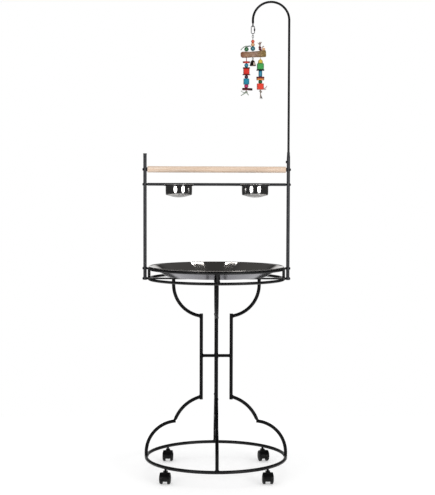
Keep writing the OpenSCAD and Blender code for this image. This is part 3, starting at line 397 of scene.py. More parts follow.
def gridPart(points, wrapRows=False, capEnds=False, slot=0):
    # Faces between neighbouring rows and columns; a capped end row closes to its own middle
    points = np.asarray(points, float)
    rows, columns = points.shape[:2]
    index = np.arange(rows * columns).reshape(rows, columns)
    low = index if wrapRows else index[:-1]
    high = np.roll(index, -1, 0) if wrapRows else index[1:]
    quads = np.stack([low, np.roll(low, -1, 1), np.roll(high, -1, 1), high], -1)
    r, c = np.indices(quads.shape[:2])
    corner = np.array([[0, 0], [0, 1], [1, 1], [1, 0]])
    uv = np.stack([(r[..., None] + corner[:, 0]) / 8, (c[..., None] + corner[:, 1]) * 4 / columns], -1)
    allPoints = points.reshape(-1, 3)
    faces = quads.reshape(-1, 4).tolist()
    uvs = uv.reshape(-1, 2)
    if capEnds:
        middles = points[[0, -1]].mean(1)
        first, last = index[0], index[-1]
        fans = [np.stack([np.roll(first, -1), first, np.full(columns, rows * columns)], -1),
                np.stack([last, np.roll(last, -1), np.full(columns, rows * columns + 1)], -1)]
        allPoints = np.concatenate([allPoints, middles])
        faces += np.concatenate(fans).tolist()
        uvs = np.concatenate([uvs, np.zeros((columns * 6, 2))])
    return {"points": allPoints, "faces": faces, "uv": uvs, "slot": slot}


def settle(mesh, weld=False):
    # All faces look outwards; with weld, parts that meet become one closed skin
    work = bmesh.new()
    work.from_mesh(mesh)
    if weld:
        bmesh.ops.remove_doubles(work, verts=work.verts, dist=0.00002)
        bmesh.ops.holes_fill(work, edges=work.edges)
    bmesh.ops.recalc_face_normals(work, faces=work.faces)
    work.to_mesh(mesh)
    work.free()


def makePiece(name, parts, materials, body, covers=(), sharpAngle=40):
    # One object from several parts, given in millimetres, riding on a body of the frame
    offsets = np.cumsum([0] + [len(part["points"]) for part in parts])
    faces = [[i + int(offset) for i in face] for part, offset in zip(parts, offsets) for face in part["faces"]]
    mesh = bpy.data.meshes.new(name)
    mesh.from_pydata((np.concatenate([part["points"] for part in parts]) * mm).tolist(), [], faces)
    mesh.uv_layers.new(name="weave").data.foreach_set("uv", np.concatenate([part["uv"] for part in parts]).ravel())
    slots = np.concatenate([np.full(len(part["faces"]), part["slot"]) for part in parts]).astype(np.int32)
    mesh.polygons.foreach_set("material_index", slots)
    settle(mesh)
    mesh.polygons.foreach_set("use_smooth", np.ones(len(mesh.polygons), bool))
    mesh.set_sharp_from_angle(angle=math.radians(sharpAngle))
    for material in materials:
        mesh.materials.append(material)
    piece = placeObject(name, mesh)
    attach(piece, body)
    if covers:
        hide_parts(*covers)
    return piece


def boredGrid(at, half, power, bore, rows, columns=96, lobes=(0, 0)):
    # Outline radius = ((|cos|/a)^p + (|sin|/b)^p)^(-1/p) * (1 + lobe * cos(count * angle)); each row lies a share of
    # the way from the bore to the outline, less an inset, at a height
    angle = around(columns)
    outline = ((np.abs(np.cos(angle)) / half[0]) ** power + (np.abs(np.sin(angle)) / half[1]) ** power) ** (-1 / power)
    outline = outline * (1 + lobes[0] * np.cos(lobes[1] * angle))
    rows = np.array(rows, float)
    radius = bore + (outline[None, :] - rows[:, 1:2] - bore) * rows[:, 0:1]
    return np.stack([at[0] + radius * np.cos(angle), at[1] + radius * np.sin(angle),
                     at[2] + np.broadcast_to(rows[:, 2:3], radius.shape)], -1)


def edgedRows(height, edge, cup=0.0):
    # Section of a block: out over the foot, round two rounded edges and back over the top, then down the bore
    turn = np.linspace(0, np.pi / 2, 6)
    low = [(1, edge * (1 - math.sin(a)), edge * (1 - math.cos(a))) for a in turn]
    high = [(1, edge * (1 - math.cos(a)), height - edge * (1 - math.sin(a))) for a in turn]
    side = [(1, 0, h) for h in np.linspace(edge, height - edge, 5)[1:-1]]
    rows = [(0, 0, 0), (0.5, 0, 0)] + low + side + high + [(0.5, 0, height), (0, 0, height), (0, 0, height / 2)]
    return [(s, i, z + cup * s * s) for s, i, z in rows]


def beadRows(width, height):
    # Section of a bead: radius = min(width / 2, sqrt(R^2 - z^2)), flat and softened at both ends; a tall bead is a
    # barrel whose ends are four fifths as wide as its middle
    reach = width / 2 if width > height else math.hypot(width * 0.8, height) / 2
    z = np.linspace(-1, 1, 17) * (height / 2 - 0.4)
    radius = np.minimum(width / 2, np.sqrt(reach ** 2 - z ** 2))
    outer = [(1, width / 2 - r, h + height / 2) for r, h in zip(radius, z)]
    top = outer[-1][1] + 0.7
    return [(0, 0, 0), (1, top, 0)] + outer + [(1, top, height), (0, 0, height), (0, 0, height / 2)]


def domeRows(width, height):
    # Section of a domed bead: an upright foot, then height = foot + sin(a) * rise at radius = cos(a) * width / 2
    foot = height * 0.35
    a = np.linspace(0, math.radians(78), 12)
    dome = [(1, width / 2 * (1 - math.cos(t)), foot + math.sin(t) * (height - foot)) for t in a]
    return [(0, 0, 0), (1, 0.8, 0), (1, 0, 0.8)] + dome + [(0, 0, height), (0, 0, height / 2)]


def markEndGrainShadeAndHighlight(piece, centre, half, power, paintedBellyHighlight=0.0):
    # Share of darker end grain and painted edge shade = max(|x| / half width, 0.9 |z| / half height) ^ power, measured
    # from the piece's middle, less a painted belly highlight of the given strength * exp(-(distance / (0.4 half sizes))
    # ^ 2)
    mesh = piece.data
    points = np.empty(len(mesh.vertices) * 3)
    mesh.vertices.foreach_get("co", points)
    away = np.abs(points.reshape(-1, 3) / mm - centre)
    across, up = away[:, 0] / half[0], away[:, 2] / half[1]
    share = np.maximum(across, 0.9 * up).clip(0, 1) ** power - paintedBellyHighlight * np.exp(-(across ** 2 + up ** 2) / 0.16)
    mesh.attributes.new("endGrainShadeAndHighlight", "FLOAT", "POINT").data.foreach_set("value", share.astype(np.float32))


def latheGrid(profile, centre, near=math.inf, columns=256):
    # Section turned about an upright axis; a straight run longer than three times near gets a row that close to each
    # end, which keeps it flat
    rows = [profile[0]]
    for start, end in zip(profile, np.roll(profile, -1, 0)):
        length = np.linalg.norm(end - start)
        if length > 3 * near:
            rows += [start + (end - start) * near / length, end - (end - start) * near / length]
        rows.append(end)
    rows = np.array(rows[:-1])
    angle = around(columns)
    return np.stack([centre[0] + rows[:, :1] * np.cos(angle), centre[1] + rows[:, :1] * np.sin(angle),
                     rows[:, 1:] + 0 * angle], -1)


def arcRun(centre, radius, start, end, count):
    # Points centre + radius * (cos, sin) between two angles in degrees
    angle = np.radians(np.linspace(start, end, count))
    return np.stack([centre[0] + radius * np.cos(angle), centre[1] + radius * np.sin(angle)], -1)


def dullUnderside(piece, highest):
    # Second slot for the faces that look down, below a height in millimetres
    polygons = piece.data.polygons
    facing, middle = np.empty(len(polygons) * 3), np.empty(len(polygons) * 3)
    polygons.foreach_get("normal", facing)
    polygons.foreach_get("center", middle)
    below = (facing[2::3] < -0.05) & (middle[2::3] < highest * mm)
    polygons.foreach_set("material_index", below.astype(np.int32))


# Tray: spun sheet with a flat floor, a sloping wall, a narrow flange and a rolled rim
traySet = {"floorRadius": 172.0, "depth": 33.0, "sheet": 1.0, "bend": 10.0, "bead": 1.6, "flange": 7.2,
           "brightDown": 3.6}


def trayProfile(t, rimRadius, top):
    # The wall touches the floor's bend at the angle that brings it to the flange
    flangeZ = top - 2 * t["bead"]
    floorZ = flangeZ - t["depth"]
    bendAt = np.array([t["floorRadius"], floorZ + t["sheet"] + t["bend"]])
    inside = np.array([rimRadius - t["flange"], flangeZ + t["sheet"]])
    reach = inside - bendAt
    wall = math.degrees(math.atan2(reach[1], reach[0]) + math.asin(t["bend"] / np.linalg.norm(reach)))
    down = t["sheet"] * np.array([math.sin(math.radians(wall)), -math.cos(math.radians(wall))])
    return np.concatenate([
        [[0.05, floorZ]], arcRun(bendAt, t["bend"] + t["sheet"], -90, wall - 90, 12),
        [inside + down, [inside[0] + t["sheet"], flangeZ]],
        arcRun((rimRadius - t["bead"], flangeZ + t["bead"]), t["bead"], -90, 202, 22),
        [inside], arcRun(bendAt, t["bend"], wall - 90, -90, 12), [[0.05, floorZ + t["sheet"]]]])


tray = trayProfile(traySet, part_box("tray")[1][0] / mm, topOf("tray"))
spunTray = makePiece("spunTray", [gridPart(latheGrid(tray, trayCentre, near=1.5, columns=360), wrapRows=True)],
                     [trayStainless, trayUndersideFinishAndShade], "tray", ["tray"], sharpAngle=50)
# The tray's downward faces below the rim take the underside finish with its painted shade
dullUnderside(spunTray, topOf("tray") - traySet["brightDown"])

# Cups: rolled rim, slightly barrelled wall, soft knuckle and domed bottom
cupSet = {"radius": 46.5, "rim": 50.5, "wall": 30.0, "dome": 14.0, "sheet": 0.8, "bead": 1.2, "knuckle": 7.0,
          "barrel": 0.45, "brightDown": 34}


def cupProfile(c, top):
    # The dome's arc and the knuckle's arc meet at a common slope
    rimZ = top - 2 * c["bead"]
    low = rimZ - c["wall"]
    run = c["radius"] - c["knuckle"] / 2
    halfAngle = 2 * math.atan2(c["dome"] - c["knuckle"] / 2, run)
    domeRadius = run / math.sin(halfAngle)
    domeAt = (0, low - c["dome"] + domeRadius)
    edge = math.degrees(halfAngle) - 98
    kneeAt = (c["radius"] - c["knuckle"] - c["barrel"], low)
    # Wall: radius less barrel * u ^ 2, where u runs from -1 to 1 over the wall's height
    u = np.linspace(-1, 1, 17)
    wall = np.stack([c["radius"] - c["barrel"] * u ** 2, low + (rimZ - 1 - low) * (u + 1) / 2], -1)
    return np.concatenate([
        [[0.05, domeAt[1] - domeRadius]], arcRun(domeAt, domeRadius, -89, edge, 20),
        arcRun(kneeAt, c["knuckle"], -50, 0, 10),
        wall[1:], [[c["radius"] + 1, rimZ]],
        arcRun((c["rim"] - c["bead"], rimZ + c["bead"]), c["bead"], -90, 199.5, 18),
        [[c["radius"] + 0.4, rimZ + c["sheet"]], [c["radius"] - c["sheet"], rimZ - 0.6]],
        wall[-2:0:-1] - [c["sheet"], 0],
        arcRun(kneeAt, c["knuckle"] - c["sheet"], 0, -50, 10),
        arcRun(domeAt, domeRadius - c["sheet"], edge, -89, 20), [[0.05, domeAt[1] - domeRadius + c["sheet"]]]])


for name, centre in cupCentres.items():
    at = (centre[0] / mm, centre[1] / mm)
    cup = makePiece(name.split("_")[0] + "CoopCup",
                    [gridPart(latheGrid(cupProfile(cupSet, topOf(name)), at, near=0.8, columns=192), wrapRows=True)],
                    [cupStainless[name], cupUnderside], name, [name], sharpAngle=50)
    dullUnderside(cup, topOf(name) - cupSet["brightDown"])
print("tray and cups made")

# Toy: dyed blocks and beads on two cords
dye = colourSet(dyedWood, "foodDyedPine", {
    "red": ("#dc2f22", "#b01712"), "orangeRed": ("#e8412f", "#c42a1c"), "darkRed": ("#7a1716", "#3d0b0d"),
    "teal": ("#1c87a6", "#0f5d77"), "deepTeal": ("#1b7384", "#0c4452"), "black": ("#1e1c20", "#0c0b0e"),
    "plum": ("#47203c", "#1f0e1f"), "magenta": ("#c22764", "#8a1744"), "maroon": ("#57141f", "#2a090f"),
    "yellow": ("#e2c64c", "#b8952a"), "green": ("#44a552", "#2a8040"), "deepGreen": ("#23703d", "#0f4222"),
    "orange": ("#e8924e", "#c96d2f"), "scarlet": ("#e2502f", "#b6301a")})
dye["natural"] = dyedWood("barePine", "#e0a877", "#b97f50")
# The play that a piece has in its place on the cord
stackGap = 0.3
# Pieces from the top down: form, width, height, depth and colour
strandSet = {
    "left": {"x": 102.8, "top": topOf("left_strand_blocks") + stackGap, "body": "left_strand", "pieces": [
        ("flower", 23, 7, 14, "red"), ("bead", 14, 14, 14, "teal"), ("slat", 25, 4.7, 16, "black"),
        ("block", 21.5, 19.3, 21.5, "red"), ("slat", 27.6, 3.2, 18, "darkRed"), ("bead", 13, 12, 13, "plum"),
        ("block", 20, 20.4, 20, "teal"), ("bead", 15, 11.4, 15, "magenta"), ("stick", 36, 10, 10, "maroon")]},
    "right": {"x": 151.8, "top": topOf("right_strand_blocks") + stackGap, "body": "right_strand", "pieces": [
        ("dome", 17, 15, 17, "yellow"), ("block", 24, 20.6, 24, "green"), ("slat", 28, 4.3, 20, "black"),
        ("bead", 13, 21.2, 13, "teal"), ("slat", 28, 6, 20, "darkRed"), ("slat", 27, 6, 20, "orange"),
        ("bead", 14, 11.7, 14, "deepGreen"), ("block", 24, 21, 24, "orangeRed")]},
}
cordBore, wireBore = 1.65, 0.95
# How a form is cut: its outline's power, its section, and how closely the darker end grain and painted edge shade
# keep to its edges
formSet = {
    "block": {"power": 9, "rows": lambda width, tall: edgedRows(tall, 1.4), "ends": 8},
    "slat": {"power": 5, "rows": lambda width, tall: edgedRows(tall, min(1.2, tall * 0.35)), "ends": 4},
    "flower": {"power": 2.4, "rows": lambda width, tall: edgedRows(tall - 1, 1.2, 1.0), "lobes": (0.12, 6),
               "ends": 2.2},
    "bead": {"power": 2, "rows": beadRows, "ends": 4},
    "dome": {"power": 2, "rows": domeRows, "ends": 4},
    "stick": {"ends": 4},
}
# How strong the painted pale highlight on a bead's belly is
bellyHighlight = {"strand": 0.08, "hanger": 0.2}


def stickPart(x, foot, width, tall):
    # Short length of branch: radius = (height / 2 - 0.6) * (0.72 + 0.28 * rounded ends) + a knot of 0.5
    s = np.linspace(0, 1, 40)
    path = np.stack([x + width * (s - 0.4), 0 * s, foot + tall / 2 + 0.6 * np.sin(5 * s)], -1)
    ends = np.clip(np.minimum(s, 1 - s) / 0.05, 0, 1)
    knot = 0.5 * np.exp(-((s - 0.3) / 0.07) ** 2)
    radius = (tall / 2 - 0.6) * (0.72 + 0.28 * np.sqrt(1 - (1 - ends) ** 2)) + knot
    return gridPart(tubeGrid(path, radius, 28), capEnds=True)


for side, strand in strandSet.items():
    foot = strand["top"]
    for number, (form, width, height, depth, colour) in enumerate(strand["pieces"], 1):
        foot -= height
        tall = height - stackGap
        cut = formSet[form]
        if form == "stick":
            part = stickPart(strand["x"], foot, width, tall)
        else:
            grid = boredGrid((strand["x"], 0, foot), (width / 2, depth / 2), cut["power"], cordBore,
                             cut["rows"](width, tall), lobes=cut.get("lobes", (0, 0)))
            part = gridPart(grid, wrapRows=True)
        piece = makePiece(f"{side}Piece{number}_{colour}", [part], [dye[colour]], strand["body"],
                          [f"{side}_strand_blocks"])
        markEndGrainShadeAndHighlight(piece, (strand["x"], 0, foot + tall / 2), (width / 2, tall / 2), cut["ends"],
                 bellyHighlight["strand"] if form == "bead" else 0.0)
print("strands made")

# Log: its middle, length, radius at both ends, tilt, and radius where each cord goes through
logLine = {"x": 127.0, "z": topOf("log") - 14.26, "length": 87.5, "left": 10.0, "right": 12.0, "tilt": 3.0,
           "atLeftCord": 10.44, "atRightCord": 11.57}
leftX, rightX, hangerX = strandSet["left"]["x"], strandSet["right"]["x"], 125.0


def logTopAt(x, radius):
    tilt = math.radians(logLine["tilt"])
    return logLine["z"] + math.tan(tilt) * (x - logLine["x"]) + radius / math.cos(tilt)


# Beads on the hanger and on the left cord's upper end: x, top, width, height, colour and bore
hangerTop = topOf("top_beads") + stackGap
leftTop = logTopAt(leftX, logLine["atLeftCord"])
beadRise = 14.4
beadSet = [(hangerX, hangerTop, 12, 11, "scarlet", wireBore),
           (hangerX, hangerTop - 11, 13, 11.4, "natural", wireBore),
           (hangerX, hangerTop - 22.4, 16.5, 16, "deepTeal", wireBore),
           (leftX, leftTop + beadRise, 15.5, 14, "deepGreen", cordBore)]
for number, (x, top, width, height, colour, bore) in enumerate(beadSet, 1):
    tall = height - stackGap
    grid = boredGrid((x, 0, top - tall), (width / 2, width / 2), 2, bore, beadRows(width, tall))
    bead = makePiece(f"topBead{number}_{colour}", [gridPart(grid, wrapRows=True)], [dye[colour]], "toy",
                     ["top_beads"])
    markEndGrainShadeAndHighlight(bead, (x, 0, top - tall / 2), (width / 2, tall / 2), formSet["bead"]["ends"], bellyHighlight["hanger"])
print("beads made")

# Log: a branch with ridged bark, sawn ends and a swollen right end
logBark = barkSkin("driedBranchBark")
endRise = 0.0023
leftEnd = sawnEnd("sawnBranchEndBrown", "#c39b78", "#8c5f44", (0.083, 0, logLine["z"] * mm - endRise))
rightEnd = sawnEnd("sawnBranchEndGreenish", "#c9c79a", "#9d9a62", (0.171, 0, logLine["z"] * mm + endRise))


def logGrid(line):
    # Radius = lerp(left, right) - 0.4 + ridges along the branch + swellings + a knot, taken in at both sawn ends, where
    # a swelling is height * exp(-((s - at) / width) ^ 2); the rows run along a tilted axis that sags by 0.7 sin(pi s)
    s = np.linspace(0, 1, 90)[:, None]
    a = around(96)[None, :]

    def bump(at, width):
        return np.exp(-((s - at) / width) ** 2)

    ridges = 0.2 * np.sin(9 * a + 6 * s) + 0.12 * np.sin(17 * a - 11 * s + 1) + 0.15 * np.sin(5 * a + 40 * s)
    swell = 0.9 * bump(0.88, 0.1) * (1 + 0.5 * np.cos(a - 1.2)) - 0.5 * bump(0.45, 0.2) + 0.9 * bump(0.12, 0.16)
    aside = np.mod(a - 4.4 + np.pi, 2 * np.pi) - np.pi
    knot = 1.1 * bump(0.3, 0.05) * np.exp(-(aside / 0.5) ** 2)
    radius = line["left"] * (1 - s) + line["right"] * s - 0.4 + ridges * 0.8 + swell + knot
    radius = radius * (1 - 0.24 * bump(0, 0.035) - 0.08 * bump(1, 0.02))
    x = line["length"] * (s - 0.5) + 0 * a
    sag = 0.7 * np.sin(np.pi * s)
    turned = math.radians(line["tilt"])
    y, z = radius * np.cos(a), radius * np.sin(a) - sag
    return np.stack([line["x"] + x * math.cos(turned) - z * math.sin(turned), y,
                     line["z"] + x * math.sin(turned) + z * math.cos(turned)], -1)


logPoints = logGrid(logLine)


def endFace(rim, slot, bulge):
    # Sawn face: rows shrink from the bark's end row to its middle, with a small bow outwards
    share = np.linspace(1, 0.04, 9)[:, None, None]
    middle = rim.mean(0)
    return gridPart(middle + (rim[None] - middle) * share + np.array([bulge, 0, 0]) * (1 - share ** 2), slot=slot)


logParts = [gridPart(logPoints), endFace(logPoints[0], 1, -1.2), endFace(logPoints[-1], 2, 1.0)]
log = makePiece("barkLog", logParts, [logBark, leftEnd, rightEnd], "toy", ["log"], sharpAngle=50)
settle(log.data, weld=True)
print("log made")

# Cords, tied ends and frayed tufts
# Each cord: its yarn colour, and the darker colour painted in its grooves as shade
cotton = colourSet(twistedCotton, "twistedCotton", {
    "maroon": ("#a34a55", "#5a1c26"), "beige": ("#cdb394", "#8a6f52"), "sage": ("#a5b09f", "#6b7a67"),
    "slate": ("#5a6671", "#303a42"), "wine": ("#7a2030", "#3a0c16"), "blush": ("#dcc4b8", "#ab8f84"),
    "grey": ("#a39a90", "#6b635a"), "brown": ("#a56f62", "#6a3b33")})


def cordPart(at, corners, radius, count=40, side=(0, 1, 0), plies=3, turnMm=9.0, slot=0):
    # Rope along a curve whose corners are measured from a point. Its section is radius * (0.86 + 0.14 * |cos(plies *
    # angle / 2)|), turned once every few millimetres
    path = bezierPath(corners, count) + at
    length = np.linalg.norm(np.diff(path, axis=0), axis=1).sum()
    sides = 6 * plies
    angle = around(sides)[None, :]
    taper = np.array(radius) if np.ndim(radius) else np.full(2, radius)
    size = np.interp(np.linspace(0, 1, count), np.linspace(0, 1, len(taper)), taper)[:, None]
    return gridPart(tubeGrid(path, size * (0.86 + 0.14 * np.abs(np.cos(plies * angle / 2))), sides, side,
                             length / turnMm), capEnds=True, slot=slot)


def knotPart(at, size, radius, turned):
    # Trefoil: ((2 + cos 3t) cos 2t, (2 + cos 3t) sin 2t, sin 3t), pressed together as a pulled-tight overhand knot
    t = around(96)
    curve = np.stack([(2 + np.cos(3 * t)) * np.cos(2 * t), (2 + np.cos(3 * t)) * np.sin(2 * t) * 0.8,
                      1.4 * np.sin(3 * t)], -1) * size / 3
    curve = curve @ np.array(Matrix.Rotation(turned[1], 3, "Y") @ Matrix.Rotation(turned[0], 3, "X")).T
    ahead = unit(np.roll(curve, -1, 0) - np.roll(curve, 1, 0))
    out = unit(curve - ahead * (curve * ahead).sum(1, keepdims=True))
    return ringPart(curve + at, out, np.cross(ahead, out), radius, 12)


def frayParts(at, aim, length, spread, count, radius, seed, slot=0):
    # Tuft: thin yarns start close together and bend out, each by its own seeded angle
    chance = np.random.default_rng(seed)
    aim = unit(np.array(aim, float))
    parts = []
    for turn, lean, reach in zip(chance.uniform(0, 2 * np.pi, count), chance.uniform(0.1, 1, count),
                                 chance.uniform(0.75, 1.1, count)):
        out = np.array([math.cos(turn), math.sin(turn), 0])
        out = out - aim * (out @ aim)
        corners = [out * 0.8, aim * length * 0.5 + out * spread * 0.2, aim * length * reach + out * spread * lean]
        parts.append(cordPart(at, corners, [radius, radius * 0.6], 12, (0.3, 1, 0.2), plies=1, turnMm=4.0, slot=slot))
    return parts


leftLow, rightLow = footOf("left_strand_blocks") + stackGap / 2, footOf("right_strand_blocks")


def strandCord(name, x, low, gap, colour, body):
    # Cord that hangs straight from a gap below the log's underside through the strand's bores to the knot below them
    top, foot = topOf(name) - gap, low - 2
    line = cordPart((x, 0, 0), [(0, 0, top), (0, 0, foot)], 1.5, count=120, turnMm=8.0)
    cord = makePiece(body.split("_")[0] + "Cord", [line], [cotton[colour]], body, [name])


leftFoot, rightFoot = (leftX, 0, leftLow), (rightX, 0, rightLow)
leftKnot = makePiece("leftCordKnot", [
    knotPart((leftX, 0, leftLow - 5), 3.6, 1.5, (0.4, 0.3)),
    cordPart(leftFoot, [(0, 0, -6), (-5, -1, -9), (-11, -2, -13), (-19, -1, -18)], [2.0, 2.1, 1.5], 30),
    cordPart(leftFoot, [(0, 0, -6), (3, -1, -10), (8.5, -1, -16.5)], [1.9, 1.5], 20),
    cordPart(leftFoot, [(-1, 0, -5), (-8, 1, -9), (-13, 1, -6), (-19, 1, -0.5)], [1.5, 1.0], 30)],
    [cotton["sage"]], "left_strand", ["left_cord"])
strandCord("left_cord", leftX, leftLow, 0.06, "maroon", "left_strand")
rightKnot = makePiece("rightCordKnot", [
    knotPart((rightX + 1, 0, rightLow - 6), 4.2, 1.8, (0.2, 0.8)),
    cordPart(rightFoot, [(1, 0, -8), (0.5, 0, -16)], [2.3, 1.8], 14)]
    + frayParts((rightX + 0.7, 0, rightLow - 15), (0.15, 0, -1), 17, 7, 22, 0.8, seed=4)
    + frayParts((rightX + 0.7, 0, rightLow - 14), (0.1, 0, -1), 12, 4, 14, 0.8, seed=6, slot=1),
    [cotton["grey"], cotton["blush"]], "right_strand", ["right_cord"])
rightString = makePiece("rightStringEnd", [
    cordPart(rightFoot, [(10, -1, 3), (15, -2, 5), (19, -2, 4), (23.5, -1, 13)], [1.5, 1.1], 24),
    cordPart(rightFoot, [(10, 1, 2), (16, 1, -2), (21, 0, 3)], [1.3, 0.9], 16)],
    [cotton["brown"]], "right_strand", ["right_cord"])
strandCord("right_cord", rightX, rightLow, 0.9, "beige", "right_strand")

# Tied ends above the log
laceTop = leftTop + beadRise + 0.2
laceAt = (leftX, 0, laceTop)
makePiece("laceKnot", [
    knotPart((leftX, 0, laceTop + 2.6), 3.2, 1.5, (0.5, 0.2)),
    cordPart(laceAt, [(0, 0, 2), (-6, 1, 5), (-13, 0, -1), (-20, -1, -10)], [1.9, 1.5], 30),
    cordPart(laceAt, [(0, 0, 2), (5, 0, 2), (10, -2, 7), (16, -3, 2)], [1.9, 2.1, 1.5], 30, slot=1)],
    [cotton["sage"], cotton["slate"]], "toy", ["top_knots"])
rightTop = logTopAt(rightX, logLine["atRightCord"])
makePiece("wineKnot", [
    knotPart((rightX - 1, 0, rightTop + 3.8), 4.2, 2.0, (0.3, 0.5)),
    knotPart((rightX - 2.5, 0, rightTop + 10.5), 3.5, 1.8, (1.2, 0.2)),
    cordPart((rightX, 0, rightTop), [(-2, 0, 8), (-3, 0, 13), (-1, 0, 18)], [2.3, 2.0], 16)],
    [cotton["wine"]], "toy", ["top_knots"])
makePiece("blushTuft", frayParts((rightX - 2, 0, rightTop + 14), (-0.05, 0, 1), 15, 10, 34, 0.75, seed=9)
          + frayParts((rightX + 3, 0, rightTop + 8), (0.75, -0.1, 0.7), 11, 5, 18, 0.7, seed=12),
          [cotton["blush"]], "toy", ["top_knots"])
# Chip of bare wood that stands on the log beside the knot
chip = boredGrid((rightX + 10.5, -1, rightTop + 0.4), (5.0, 2.6), 3, 0.4, edgedRows(8.5, 1.0), 40, (0.1, 3))
makePiece("woodChip", [gridPart(chip, wrapRows=True)], [dye["natural"]], "toy", ["top_knots"])
print("cords made")

# Bell: a flared shell, smooth inside and out, on a wire loop
bellSet = {"low": footOf("bell"), "height": 20.0, "radius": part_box("bell")[1][0] / mm - hangerX,
           "wall": 0.9, "crown": 1.8, "loopZ": topOf("bell") - 2.9, "loop": 2.2, "loopWire": 0.7}


def bellProfile(b):
    # Outside radius runs through listed stations from lip to crown, smoothed. The inside lies a wall within and ends
    # a crown's thickness below the top
    h = np.array([0, 0.05, 0.16, 0.34, 0.55, 0.75, 0.9, 1.0]) * b["height"]
    r = np.array([1.0, 0.99, 0.91, 0.81, 0.73, 0.63, 0.49, 0.22]) * b["radius"]
    z = np.linspace(0, b["height"], 40)
    outer = np.interp(z, h, r)
    outer = np.convolve(np.pad(outer, 2, mode="edge"), np.ones(5) / 5, "valid")
    inner = outer[::-1] - b["wall"]
    radius = np.concatenate([outer, [0.05, 0.05], inner[1:]])
    roof = b["height"] - b["crown"]
    height = np.concatenate([z, [b["height"], roof], np.minimum(z[::-1], roof)[1:]])
    return np.stack([radius, b["low"] + height], -1)


loopAngle = around(40)
loopOut = np.stack([0 * loopAngle, np.cos(loopAngle), np.sin(loopAngle)], -1)
loopPath = loopOut * bellSet["loop"] + [hangerX, 0, bellSet["loopZ"]]
makePiece("nickelBell", [gridPart(latheGrid(bellProfile(bellSet), (hangerX, 0), columns=64), wrapRows=True),
                         ringPart(loopPath, loopOut, np.tile([1.0, 0, 0], (40, 1)), bellSet["loopWire"], 10)],
          [nickelPlate], "bell", ["bell"], sharpAngle=50)
print("bell made")


# Welds: small beads where the rods meet
def saddleBead(at, arm, host, armRadius, hostRadius, bead, seed):
    # Seam of two round rods: a point at angle f lies on the arm's skin where its distance from the host's axis is
    # the host's radius, sqrt(host^2 - (arm * sin f)^2) along the arm; the bead rides on it and swells by seeded waves
    arm, host = unit(np.array(arm, float)), unit(np.array(host, float))
    cross = unit(np.cross(host, arm))
    axisB = np.cross(arm, cross)
    f = around(60)
    reach = armRadius + 0.35 * bead
    out = np.sqrt(np.maximum((hostRadius + 0.35 * bead) ** 2 - (reach * np.sin(f)) ** 2, 0.3))
    seam = at + arm * out[:, None] + reach * (np.sin(f)[:, None] * cross + np.cos(f)[:, None] * axisB)
    ahead = unit(np.roll(seam, -1, 0) - np.roll(seam, 1, 0))
    one = unit(np.cross(ahead, arm))
    size = bead * (1 + 0.16 * np.sin(19 * f + seed) + 0.1 * np.sin(7 * f + 2 * seed))[:, None, None]
    return ringPart(seam, one, np.cross(ahead, one), size, 8)


weldSet = {"stemR": 53.0, "domeZ": 267.8, "bowlZ": 554.5, "tieZ": middleOf("leg_cross_tie"), "baseR": 247.0,
           "baseZ": middleOf("base_ring"), "hoopR": 237.5, "lowZ": middleOf("lower_tray_ring"),
           "topZ": middleOf("upper_tray_ring"), "dressed": 253.8}
legRod, tieRod, hoopRod, legBead, hoopBead = 6, 5.5, 5, 1.1, 0.9
legWelds, frameWelds = [], []
up = np.array([0, 0, 1.0])
for k, a in enumerate(np.radians([0, 90, 180, 270])):
    out = np.array([math.cos(a), math.sin(a), 0])
    hoopRun = np.array([-math.sin(a), math.cos(a), 0])
    # On the stem: a bead's height, the direction and radius of the rod that comes in there, and the seed
    for z, arm, rod, seed in ((weldSet["domeZ"], out * 0.966 - up * 0.257, legRod, k),
                              (weldSet["bowlZ"], out * 0.983 + up * 0.182, legRod, k + 5),
                              (weldSet["tieZ"], -out, tieRod, k + 9)):
        legWelds.append(saddleBead(out * weldSet["stemR"] + up * z, arm, up, rod, legRod, legBead, seed))
    # The base hoop's beads are dressed flush with its outer edge
    dressed = saddleBead(out * weldSet["baseR"] + up * weldSet["baseZ"], up, hoopRun, legRod, legRod, legBead, k + 2)
    dressed["points"][:, :2] = dressed["points"][:, :2].clip(-weldSet["dressed"], weldSet["dressed"])
    legWelds.append(dressed)
    for z, way in ((weldSet["lowZ"], 1), (weldSet["topZ"], -1)):
        frameWelds.append(saddleBead(out * weldSet["hoopR"] + up * z, up * way, hoopRun, hoopRod, hoopRod, hoopBead,
                                     k + 3 * way))
makePiece("legWelds", legWelds, [legCoat], "stand")
makePiece("hoopWelds", frameWelds, [frameCoat], "stand")
print("welds made")

# Stage: a pale table that ends behind the stand, and a white surround
floorSet = {"side": 3, "near": -6, "far": 1, "melt": (0.3, 0.9), "lift": (0.4, 0.5), "colour": "#e6e6e6"}
side, near, far = (floorSet[key] for key in ("side", "near", "far"))
floorMesh = bpy.data.meshes.new("floor")
floorMesh.from_pydata([(-side, near, 0), (side, near, 0), (side, far, 0), (-side, far, 0)], [], [(0, 1, 2, 3)])
floor = placeObject("floor", floorMesh)
floorPaint = bpy.data.materials.new("paleFloor")
tree = emptyTree(floorPaint)
rays = addNode(tree, "ShaderNodeLightPath").outputs
seen = reckon(tree, "MAXIMUM", rays["Is Camera Ray"], rays["Is Glossy Ray"], rays["Is Transmission Ray"])
